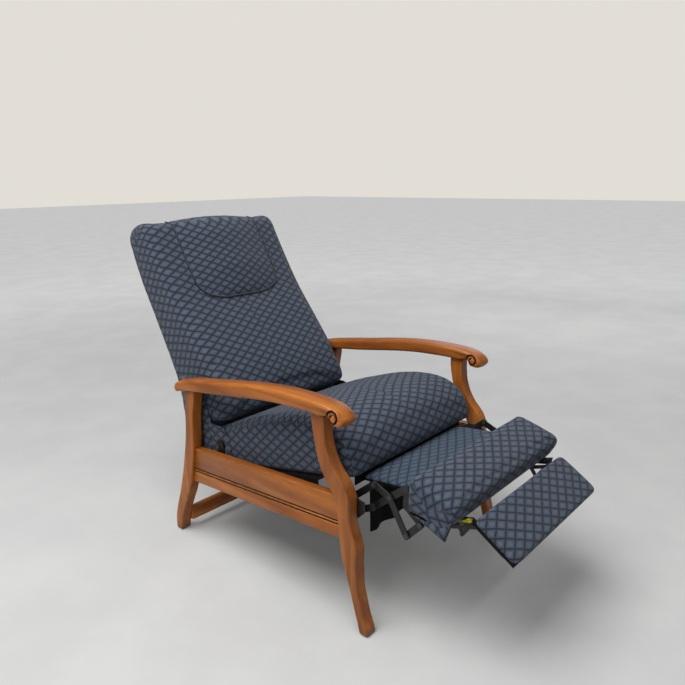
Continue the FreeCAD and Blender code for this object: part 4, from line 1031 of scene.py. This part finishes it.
@dataclass
class WoodenFrame:
    """Legs, armrests, rails and stretcher."""

    finishes: Finishes
    leg_spacing: float = 0.630
    arm_width: float = 0.058
    scroll_centre: Place = (0.359, 0.562)
    scroll_radius: float = 0.0184
    groove_width: float = 0.0068
    groove_depth: float = 0.0042
    spiral_start: float = 205.0
    spiral_step: float = 10.5
    spiral_steps: int = 45
    bead_out: float = 0.0054
    bead_rises: Place = (0.036, 0.045)
    bead_ends: Place = (-0.262, 0.352)
    bead_radius: float = 0.0015
    rail_start: Place = (-0.270, 0.196)
    rail_slope: float = 3.9

    def build(self) -> None:
        """Make every wooden piece that shows."""
        wood = self.finishes
        for side in ("left", "right"):
            carved(f"{side}_front_leg", f"{side}_front_leg_shaped", wood.upright)
            carved(f"{side}_rear_leg", f"{side}_rear_leg_shaped", wood.upright)
            softened([f"{side}_side_rail"], f"{side}_side_rail_moulded", 0.0022, wood.lengthwise, sharp=50.0)
            self.armrest(side)
            self.bead_shadows(side)
        softened(["rear_stretcher"], "rear_stretcher_rounded", 0.003, wood.crosswise)
        softened(["front_cross_rail", "rear_cross_rail"], "cross_rails_planed", 0.0015, wood.stained)

    def bead_shadows(self, side: str) -> None:
        """Painted shade: dark strips laid in the two grooves of a side rail."""
        sign = 1 if side == "left" else -1
        x = sign * (self.leg_spacing / 2 + self.bead_out)
        rear, low = self.rail_start
        slope = math.tan(math.radians(self.rail_slope))
        strips = []
        for rise in self.bead_rises:
            ends = [at(x, f, low + (f - rear) * slope + rise) for f in self.bead_ends]
            # Each strip is painted shade laid in a groove.
            strips.append(tube("groove", ends, self.bead_radius, self.finishes.groove, 6))
        strip = join(f"{side}_rail_groove_painted_shade", strips)
        mount(strip, "frame")

    def spiral(self, x: float) -> list[Vector]:
        """Middle line of the carved spiral on one face of an armrest."""
        centre, radius = self.scroll_centre, self.scroll_radius
        points: list[Vector] = []
        for step in range(self.spiral_steps + 1):
            angle = math.radians(self.spiral_start - self.spiral_step * step)
            share = step / self.spiral_steps
            size = radius * (1.0 - 0.42 * share - 0.36 * max(0.0, share - 0.6) / 0.4)
            points.append(at(x, centre[0] + size * math.cos(angle) * 0.92,
                             centre[1] + size * math.sin(angle)))
        return points

    def armrest(self, side: str) -> None:
        """Armrest with a deep spiral carved in both faces, the cut faces painted dark as shade."""
        sign = 1 if side == "left" else -1
        arm = softened([f"{side}_armrest"], f"{side}_armrest_carved", 0.0, self.finishes.lengthwise)
        middle = sign * self.leg_spacing / 2
        for face in (-1, 1):
            x = middle + face * self.arm_width / 2
            points = self.spiral(x)
            verts, faces = [], []
            for i, point in enumerate(points):
                ahead = points[min(i + 1, len(points) - 1)]
                behind = points[max(i - 1, 0)]
                run = (ahead - behind).normalized()
                across = Vector((1, 0, 0)).cross(run)
                half = self.groove_width / 2 * (1.0 - 0.45 * i / len(points))
                for offset in (-1, 1):
                    top = point + across * offset * half * 1.1 + Vector((face * 0.003, 0, 0))
                    low = point + across * offset * half * 0.7 - Vector((face * self.groove_depth, 0, 0))
                    verts += [top, low]
            for i in range(len(points) - 1):
                a, b = i * 4, i * 4 + 4
                faces += [(a, a + 1, b + 1, b), (a + 1, a + 3, b + 3, b + 1), (a + 3, a + 2, b + 2, b + 3),
                          (a + 2, a, b, b + 2)]
            end = len(verts) - 4
            faces += [(0, 1, 3, 2), (end, end + 1, end + 3, end + 2)]
            # The cut faces take the dark finish: painted shade in the spiral groove.
            cutter = new_piece("gouge", verts, faces, self.finishes.groove)
            cut_away(arm, cutter, "TRANSFER")
        arm.data.set_sharp_from_angle(angle=math.radians(42))


@dataclass
class SeatPart:
    """Seat cushion, its lining and side tucks, the dust cover and its staples."""

    finishes: Finishes
    pad: Pad
    pocket: Pocket = Pocket(0.0295, 0.531, -0.03, 0.0665, 0.2665)
    sheet_half: float = 0.2657
    sheet_start: float = 0.0303
    sheet_length: float = 0.5294
    staple: tuple[float, float, float] = (0.010, 0.0011, 0.0012)
    staple_inset: float = 0.010
    staples_per_side: int = 16
    valance_half: float = 0.248
    valance_low: float = 0.349
    valance_high: float = 0.3785
    valance_forward: float = 0.3465
    tuck_levels: tuple = (0.286, 0.300, 0.330, 0.368, 0.392)
    tuck_rear: tuple = (-0.207, -0.211, -0.214, -0.216, -0.205)
    tuck_front: tuple = (-0.112, -0.108, -0.108, -0.120, -0.150)
    tuck_seam: float = 0.2806
    tuck_proud: float = 0.0038
    tuck_thickness: float = 0.0004
    notch: tuple[float, float, float] = (-0.168, -0.132, 0.348)

    def build(self) -> None:
        """Make the cushion and everything sewn or stapled to it."""
        cushion = self.pad.filled(self.finishes.chenille)
        self.pad.hollowed(cushion, self.pocket)
        self.pad.weave(cushion)
        mount(cushion, "frame")
        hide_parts("seat_cushion")
        self.dust_sheet()
        self.valance()
        self.tucks()

    def tucks(self) -> None:
        """Rear ends of the seat's side panels, drawn over the hinge plates."""
        rows, columns = 24, 20
        low, high = self.tuck_levels[0], self.tuck_levels[-1]
        turn = math.radians(self.pad.angle)
        for sign, side in ((-1, "right"), (1, "left")):
            verts = []
            for r in range(rows + 1):
                up = low + (high - low) * r / rows
                rear = float(np.interp(up, self.tuck_levels, self.tuck_rear))
                front = float(np.interp(up, self.tuck_levels, self.tuck_front))
                for c in range(columns + 1):
                    share = c / columns
                    hem = min(1.0, (1 - share) * 5)
                    x = self.tuck_seam + self.tuck_proud * hem * hem * (3 - 2 * hem)
                    verts.append(at(sign * x, rear + (front - rear) * share, up))
            faces = [face for face in grid_faces(rows, columns)
                     if not self.in_notch([verts[i] for i in face])]
            cloth = new_piece(f"seat_cover_tuck_{side}", verts, faces, self.finishes.chenille)
            lay_map(cloth, lambda x, f, u: (u * math.cos(turn) - f * math.sin(turn),
                                            f * math.cos(turn) + u * math.sin(turn)))
            thickened(cloth, self.tuck_thickness, 0.0)
            mount(cloth, "frame")

    def in_notch(self, corners: list[Vector]) -> bool:
        """Whether a face lies in the notch left for the fixed hinge plate."""
        rear, front, top = self.notch
        forward = SHIFT - sum(corner.y for corner in corners) / 4
        up = sum(corner.z for corner in corners) / 4
        return rear < forward < front and up < top

    def valance(self) -> None:
        """Dark lining stretched down from the seat's front edge to the flap."""
        columns, rows = 60, 6
        half, low, high = self.valance_half, self.valance_low, self.valance_high
        verts = []
        for r in range(rows + 1):
            for c in range(columns + 1):
                ripple = 0.0006 * math.sin(c * 1.3) * r / rows
                verts.append(at(half * (2 * c / columns - 1), self.valance_forward + ripple,
                                high + (low - high) * r / rows))
        cloth = new_piece("seat_front_valance", verts, grid_faces(rows, columns), self.finishes.lining)
        thickened(cloth, 0.0010)
        mount(cloth, "frame")

    def dust_sheet(self) -> None:
        """Dust cloth stretched under the seat, with a row of staples round it."""
        inner, start, length = self.sheet_half, self.sheet_start, self.sheet_length
        rows, columns = 22, 22
        verts = []
        for r in range(rows + 1):
            for c in range(columns + 1):
                f, u = along(self.pad.origin, self.pad.angle, start + length * r / rows, 0.0006)
                verts.append(at(-inner + 2 * inner * c / columns, f, u + 0.0002 * math.sin(r * c)))
        sheet = new_piece("dust_sheet", verts, grid_faces(rows, columns), self.finishes.dust)
        thickened(sheet, 0.0008)
        mount(sheet, "frame")
        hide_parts("dust_cover")
        row = StapleRow(self.finishes.bright)
        staples = row.lay("dust_sheet_staples", "frame", self.staple_spots(), self.staple)

    def staple_spots(self) -> list[tuple[Vector, Vector, Vector]]:
        """Place, run and stand of every staple round the dust cloth."""
        inner, start, length, inset = self.sheet_half, self.sheet_start, self.sheet_length, self.staple_inset
        turn = math.radians(self.pad.angle)
        down = Vector((0, -math.sin(turn), -math.cos(turn)))
        fore, across = Vector((0, -math.cos(turn), math.sin(turn))), Vector((1, 0, 0))
        spots = []
        for c in range(self.staples_per_side):
            share = (c + 0.5) / self.staples_per_side
            for x, run, way in ((-inner + 2 * inner * share, start + inset, across),
                                (-inner + 2 * inner * share, start + length - inset, across),
                                (-inner + inset, start + length * share, fore),
                                (inner - inset, start + length * share, fore)):
                spots.append((at(x, *along(self.pad.origin, self.pad.angle, run, -0.0004)), way, down))
        return spots


@dataclass
class BackPart:
    """Back cushion with its head pillow, apron and side tails."""

    finishes: Finishes
    pad: Pad
    pocket: Pocket = Pocket(0.0695, 0.541, -0.2, 0.2305, 0.2505)
    pillow_half: float = 0.172
    pillow_reach: float = 0.308
    piping_radius: float = 0.0031
    pillow_corner: float = 0.086
    pillow_puff: float = 0.026
    hinge: Place = (-0.150, 0.330)
    apron_reach: float = 0.0785
    apron_half: float = 0.262
    apron_start: float = 148
    apron_sweep: float = 54
    apron_thickness: float = 0.0012
    tail_thickness: float = 0.0006
    tail_root: float = 0.2772
    tail_side: float = 0.2853
    tail_levels: tuple = (0.278, 0.292, 0.312, 0.372, 0.512)
    tail_front: tuple = (-0.222, -0.204, -0.196, -0.196, -0.236)
    tail_rear: tuple = (-0.284, -0.297, -0.303, -0.316, -0.352)

    def build(self) -> None:
        """Make the cushion, its loose ends, the pillow and the piping round it."""
        cushion = self.pad.filled(self.finishes.chenille)
        self.pad.hollowed(cushion, self.pocket)
        self.pad.weave(cushion)
        mount(cushion, "back")
        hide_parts("back_cushion")
        self.apron()
        self.tails()
        skin = surface_of(cushion)
        pillow, rim = self.pillow(skin)
        mount(pillow, "back")
        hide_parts("head_pillow")
        piping = tube("pillow_piping", rim, self.piping_radius, self.finishes.piping, 8)
        mount(piping, "back")

    def apron(self) -> None:
        """Cloth drawn in under the back's heel, round the same middle as the hinge."""
        hinge, reach, half, sweep = self.hinge, self.apron_reach, self.apron_half, self.apron_sweep
        rows, columns = 14, 40
        verts = []
        for r in range(rows + 1):
            angle = math.radians(self.apron_start + sweep * r / rows)
            for c in range(columns + 1):
                ripple = 0.0008 * math.sin(c * 0.9) * math.sin(math.pi * r / rows)
                span = reach + ripple
                verts.append(at(half * (2 * c / columns - 1), hinge[0] + span * math.cos(angle),
                                hinge[1] + span * math.sin(angle)))
        cloth = new_piece("back_apron", verts, grid_faces(rows, columns), self.finishes.chenille)
        lay_map(cloth, lambda x, f, u: (math.atan2(u - hinge[1], f - hinge[0]) * reach, x))
        thickened(cloth, self.apron_thickness, 0.0)
        mount(cloth, "back")

    def tails(self) -> None:
        """Side ends of the cover, which hang below the cushion behind the seat."""
        rows, columns = 28, 14
        turn = math.radians(self.pad.angle)
        for sign, side in ((-1, "right"), (1, "left")):
            verts = []
            for r in range(rows + 1):
                level = r / rows
                up = 0.512 - 0.234 * level
                front = float(np.interp(up, self.tail_levels, self.tail_front))
                rear = float(np.interp(up, self.tail_levels, self.tail_rear))
                proud = min(1.0, level / 0.14)
                proud = proud * proud * (3 - 2 * proud)
                for c in range(columns + 1):
                    share = c / columns
                    wave = 0.0002 * math.sin(7 * share + 5 * level)
                    hem = min(1.0, min(share, 1 - share) * 9) if up > 0.36 else 1.0
                    out = (self.tail_side - self.tail_root) * proud * (0.35 + 0.65 * hem)
                    x = self.tail_root + out + wave * proud
                    verts.append(at(sign * x, front + (rear - front) * share, up))
            cloth = new_piece(f"back_cover_tail_{side}", verts, grid_faces(rows, columns),
                              self.finishes.chenille)
            lay_map(cloth, lambda x, f, u: (f * math.cos(turn) + u * math.sin(turn),
                                            u * math.cos(turn) - f * math.sin(turn)))
            thickened(cloth, self.tail_thickness, 0.0)
            mount(cloth, "back")

    def face_line(self) -> list[Place]:
        """Run over the front face from the top edge downwards."""
        line = self.pad.outline(0.0, 0.004)
        top = max(range(len(line)), key=lambda i: line[i][1])
        return list(reversed(line[:top + 1]))

    def half_at(self, share: float) -> float:
        """Half width of the pillow at a share of its reach."""
        low = share * self.pillow_reach - (self.pillow_reach - self.pillow_corner)
        if low <= 0:
            return self.pillow_half
        bend = min(1.0, low / self.pillow_corner)
        return self.pillow_half - self.pillow_corner * 1.15 * (1 - math.sqrt(max(0.0, 1 - bend ** 2.2)))

    def pillow(self, skin: BVHTree) -> tuple[bpy.types.Object, list[Vector]]:
        """Pillow shell over the cushion's face and the line its piping takes."""
        line = self.face_line()
        total = run_lengths(line)
        rows, columns = 64, 76
        grid, low, lifted = [], [], []
        uvs = []
        for r in range(rows + 1):
            share = r / rows
            goal = share * self.pillow_reach
            f = float(np.interp(goal, total, [p[0] for p in line]))
            u = float(np.interp(goal, total, [p[1] for p in line]))
            half = self.half_at(share)
            for c in range(columns + 1):
                x = half * (2 * c / columns - 1)
                base, normal = self.drop(skin, at(x, f, u))
                edge = 1 - abs(2 * c / columns - 1)
                foot = 1 - share
                rise = min(1.0, math.sqrt(max(0.0, edge)) * 1.25) * min(1.0, math.sqrt(foot) * 1.7)
                crown = self.pillow_puff * rise * (0.75 + 0.35 * edge) * (0.45 + 0.55 * min(1.0, share * 4))
                pucker = 0.0012 * math.sin(c * 1.9 + r * 0.7) * math.exp(-8 * min(edge, foot))
                grid.append(base + normal * (crown + pucker))
                low.append(base - normal * 0.006)
                lifted.append(base + normal * (self.piping_radius * 0.75))
                uvs.append((goal, x))
        wide = columns + 1
        faces = grid_faces(rows, columns)
        base = len(grid)
        under = [tuple(base + i for i in reversed(face)) for face in faces]
        border = ([r * wide for r in range(rows + 1)] + [rows * wide + c for c in range(1, wide)]
                  + [r * wide + columns for r in range(rows - 1, -1, -1)] + list(range(columns - 1, 0, -1)))
        skirt = [(border[i], border[(i + 1) % len(border)], base + border[(i + 1) % len(border)],
                  base + border[i]) for i in range(len(border))]
        pillow = new_piece("head_pillow_puffed", grid + low, faces + under + skirt, self.finishes.chenille)
        layer = pillow.data.uv_layers.new(name="weave")
        for loop in pillow.data.loops:
            uv = uvs[loop.vertex_index % base]
            layer.data[loop.index].uv = (uv[0] * 1.06, uv[1] * 1.03 + 0.007)
        path = ([r * wide for r in range(rows + 1)] + [rows * wide + c for c in range(1, columns)]
                + [r * wide + columns for r in range(rows, -1, -1)])
        rim = [lifted[index] for index in path]
        for _ in range(3):
            rim = [rim[0]] + [(a + b * 2 + c) / 4 for a, b, c in zip(rim, rim[1:], rim[2:])] + [rim[-1]]
        return pillow, rim[::2]

    @staticmethod
    def drop(skin: BVHTree, point: Vector) -> tuple[Vector, Vector]:
        """Nearest place on the cushion and the way it faces."""
        found = skin.find_nearest(point)
        return found[0], found[1]


@dataclass
class LegrestPart:
    """Legrest panel with its loose corner, flip-out panel with its stop plates, and flap with its curtain."""

    finishes: Finishes
    panel: Pad
    flipper: Pad
    flap: Pad
    pocket: Pocket = Pocket(0.0075, 0.095, -0.02, 0.0305, 0.2625)
    curtain_width: float = 0.420
    curtain_drop: float = 0.150
    curtain_folds: int = 5
    corner_root: tuple = ((0.546, 0.345), (0.572, 0.342), (0.598, 0.347), (0.622, 0.353), (0.649, 0.366))
    corner_tip: Place = (0.631, 0.3105)
    corner_side: float = 0.2675
    arm_body: str = "flipper_arms"

    def build(self) -> None:
        """Make every cloth piece in front of the seat."""
        # The flap takes the chenille copy with the painted teal shade.
        for pad, node, body, finish in ((self.panel, "legrest_pad", "legrest", self.finishes.chenille),
                                        (self.flipper, "flipper_pad", "flipper", self.finishes.chenille),
                                        (self.flap, "filler_pad", "filler", self.finishes.flap)):
            made = pad.filled(finish)
            if pad is self.panel:
                pad.hollowed(made, self.pocket)
            pad.weave(made)
            mount(made, body)
            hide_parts(node)
        self.curtain()
        self.loose_corner()
        self.stop_plates()

    def loose_corner(self) -> None:
        """Corner of the cover that has come loose and hangs in a point at the near end."""
        tip = self.corner_tip
        rows, columns = 16, 24
        verts = []
        upper = smooth_run(list(self.corner_root), 0.002)
        marks = np.linspace(0, 1, len(upper))
        for r in range(rows + 1):
            level = r / rows
            for c in range(columns + 1):
                share = c / columns
                f0 = float(np.interp(share, marks, [p[0] for p in upper]))
                u0 = float(np.interp(share, marks, [p[1] for p in upper]))
                f = f0 + (tip[0] - f0) * level * 0.985
                u = u0 + (tip[1] - u0) * level * (1 - 0.10 * math.sin(math.pi * share))
                bulge = 0.0045 * math.sin(math.pi * min(1.0, share * 1.1)) * math.sin(math.pi * level * 0.9)
                verts.append(at(-(self.corner_side + bulge + 0.0012 * level), f, u))
        cloth = new_piece("legrest_loose_corner", verts, grid_faces(rows, columns), self.finishes.chenille)
        turn = math.radians(self.panel.angle)
        lay_map(cloth, lambda x, f, u: (f * math.cos(turn) - u * math.sin(turn) + 0.011,
                                        u * math.cos(turn) + f * math.sin(turn)))
        thickened(cloth, 0.0014, 0.0)
        mount(cloth, "legrest")

    def stop_plates(self) -> None:
        """Yellow zinc stop plate beside each flip-out hinge."""
        inner = [(0.6229, 0.3332), (0.6268, 0.3446), (0.6648, 0.3562), (0.6604, 0.3433)]
        outer = [(0.6185, 0.3290), (0.6240, 0.3486), (0.6690, 0.3612), (0.6630, 0.3385)]
        plates = []
        for sign in (-1, 1):
            for corners, low, high, finish in ((outer, 0.2081, 0.2092, self.finishes.black),
                                               (inner, 0.2090, 0.2101, self.finishes.yellow)):
                shaped = bmesh.new()
                inside = [shaped.verts.new(at(sign * low, *p)) for p in corners]
                outside = [shaped.verts.new(at(sign * high, *p)) for p in corners]
                shaped.faces.new(inside)
                shaped.faces.new(outside)
                for k in range(4):
                    shaped.faces.new((inside[k], inside[(k + 1) % 4], outside[(k + 1) % 4], outside[k]))
                bmesh.ops.recalc_face_normals(shaped, faces=shaped.faces)
                bmesh.ops.bevel(shaped, geom=shaped.edges[:], offset=0.0003, segments=2, affect="EDGES")
                mesh = bpy.data.meshes.new("stop_plate")
                shaped.to_mesh(mesh)
                shaped.free()
                plates.append(mesh_piece("stop_plate", mesh, finish))
        whole = join("flipper_stop_plates", plates)
        mount(whole, self.arm_body)

    def curtain(self) -> None:
        """Black curtain hung in upright folds from the flap's rear edge."""
        width, drop, folds = self.curtain_width, self.curtain_drop, self.curtain_folds
        top = along(self.flap.origin, self.flap.angle, 0.012, -0.0005)
        columns, rows = 120, 24
        verts = []
        for r in range(rows + 1):
            level = r / rows
            swing = 0.007 * (0.25 + 0.75 * level)
            row = []
            for c in range(columns + 1):
                share = c / columns
                wave = math.sin(share * folds * 2 * math.pi) + 0.22 * math.sin(share * 31 + 1.3 * level)
                row.append(at(width * (share - 0.5), top[0] + 0.001 + swing * wave * 0.82,
                              top[1] - level * drop))
            verts += row
        curtain = new_piece("legrest_curtain", verts, grid_faces(rows, columns), self.finishes.lining)
        thickened(curtain, 0.0012)
        mount(curtain, "filler")
        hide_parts("front_curtain")


@dataclass
class Studio:
    """Floor, backdrop, lights and the camera at the photograph's angle."""

    eye: tuple[float, float, float] = (-1.3753, -1.3172, 1.109)
    heading: float = -48.232
    pitch: float = 14.45
    roll: float = -0.7318
    focal: float = 639.991
    picture: float = 685.0
    sensor: float = 36.0
    floor_half: float = 28.0

    def build(self) -> None:
        """Set the stage."""
        self.floor()
        self.lights()
        self.camera()

    def floor(self) -> None:
        """Pale floor, plain."""
        book = Book("pale_floor")
        cloud = book.noise(book.place(), 3.0, 4.0, 0.6)
        colour = book.blend(book.ramp(cloud, 0.35, 0.7), tone(186, 186, 185), tone(192, 192, 190))
        book.feed(colour, book.shader, "Emission Color")
        seen = book.node("ShaderNodeLightPath").outputs["Is Camera Ray"]
        far = book.node("ShaderNodeVectorMath", operation="LENGTH")
        book.feed(book.place(), far, 0)
        glow = book.ramp(far.outputs["Value"], 0.8, 6.0, 0.08, 0.88)
        book.feed(book.times(seen, glow), book.shader, "Emission Strength")
        half = self.floor_half
        corners = [(-half, -half, 0), (half, -half, 0), (half, half, 0), (-half, half, 0)]
        floor = new_piece("floor", corners, [(0, 1, 2, 3)], book.finish(colour, 0.85), False)

    def lights(self) -> None:
        """Even pale world and broad lamps."""
        world = bpy.data.worlds.new("studio")
        bpy.context.scene.world = world
        world.use_nodes = True
        tree = world.node_tree
        tree.nodes.clear()
        out = tree.nodes.new("ShaderNodeOutputWorld")
        mix = tree.nodes.new("ShaderNodeMixShader")
        path = tree.nodes.new("ShaderNodeLightPath")
        either = tree.nodes.new("ShaderNodeMath")
        either.operation = "MAXIMUM"
        lit, seen = tree.nodes.new("ShaderNodeBackground"), tree.nodes.new("ShaderNodeBackground")
        lit.inputs[0].default_value = (0.93, 0.96, 1.0, 1.0)
        lit.inputs[1].default_value = 0.22
        seen.inputs[0].default_value = tone(226, 222, 214)
        seen.inputs[1].default_value = 1.0
        tree.links.new(path.outputs["Is Camera Ray"], either.inputs[0])
        tree.links.new(path.outputs["Is Transmission Ray"], either.inputs[1])
        tree.links.new(either.outputs[0], mix.inputs[0])
        tree.links.new(lit.outputs[0], mix.inputs[1])
        tree.links.new(seen.outputs[0], mix.inputs[2])
        tree.links.new(mix.outputs[0], out.inputs[0])
        for name, spot, goal, size, power in (
                ("key", (-1.5, 0.1, 3.7), (0, 0, 0.4), 2.6, 168),
                ("side", (-3.4, -0.6, 1.9), (0, 0, 0.5), 2.0, 16),
                ("front", (1.2, -3.2, 2.9), (0, 0, 0.4), 2.4, 11),
                ("fill", (3.3, 0.8, 2.0), (0, 0, 0.5), 2.4, 18)):
            lamp = bpy.data.lights.new(name, "AREA")
            lamp.size = size
            lamp.energy = power
            obj = bpy.data.objects.new(name, lamp)
            obj.location = spot
            obj.rotation_euler = (Vector(goal) - Vector(spot)).to_track_quat("-Z", "Y").to_euler()
            bpy.context.scene.collection.objects.link(obj)

    def camera(self) -> None:
        """Camera solved from the photograph's lines."""
        heading, pitch, roll = (math.radians(v) for v in (self.heading, self.pitch, self.roll))
        level = Vector((-math.sin(heading), math.cos(heading), 0))
        right = Vector((math.cos(heading), math.sin(heading), 0))
        ahead = level * math.cos(pitch) - Vector((0, 0, math.sin(pitch)))
        above = right.cross(ahead)
        side = right * math.cos(roll) + above * math.sin(roll)
        top = above * math.cos(roll) - right * math.sin(roll)
        lens = bpy.data.cameras.new("photo_camera")
        lens.sensor_width = self.sensor
        lens.lens = self.focal * self.sensor / self.picture
        lens.clip_end = 60.0
        obj = bpy.data.objects.new("photo_camera", lens)
        turned = Matrix((side, top, -ahead)).transposed().to_4x4()
        turned.translation = Vector((self.eye[0], self.eye[1] + SHIFT, self.eye[2]))
        obj.matrix_world = turned
        bpy.context.scene.collection.objects.link(obj)
        bpy.context.scene.camera = obj


def main() -> None:
    """Build every sub-assembly in order."""
    logging.basicConfig(level=logging.INFO, format="%(message)s")
    bpy.context.scene.view_settings.view_transform = "Standard"
    Studio().build()
    finishes = Finishes()
    finishes.dress_nodes()
    WoodenFrame(finishes).build()
    LOG.info("wooden frame made")
    seat = Pad("seat_cushion_filled", SEAT_SHARES, (-0.210, 0.252), 12.7, 0.600, 0.146, 0.280, 0.016,
               (0.004, 0.026), shrink=0.001, swell=0.009, boxed=0.007, full_edge=0.55)
    SeatPart(finishes, seat).build()
    LOG.info("seat made")
    back = Pad("back_cushion_filled", BACK_SHARES, (-0.5842, 0.9541), -65.2, 0.700, 0.170, 0.278, 0.016,
               (0.014, 0.003), 0.008, shrink=0.001, swell=0.008, covered=(0.07, 0.62), full_edge=0.8)
    BackPart(finishes, back).build()
    LOG.info("back made")
    panel = Pad("legrest_pad_filled", PANEL_SHARES, (0.520, 0.344), -10.0, 0.135, 0.093, 0.270, 0.016,
                (0.006, 0.006), shrink=0.0005, voxel=0.005, swell=0.005, full_edge=0.6)
    flipper = Pad("flipper_pad_filled", FLIPPER_SHARES, (0.671, 0.352), -33.1, 0.127, 0.024, 0.225, 0.008,
                  (0.003, 0.003), voxel=0.003)
    flap = Pad("flap_filled", FILLER_SHARES, (0.352, 0.357), 6.4, 0.160, 0.014, 0.223, 0.005,
               (0.002, 0.002), voxel=0.0036)
    LegrestPart(finishes, panel, flipper, flap).build()


if __name__ == "__main__":
    main()
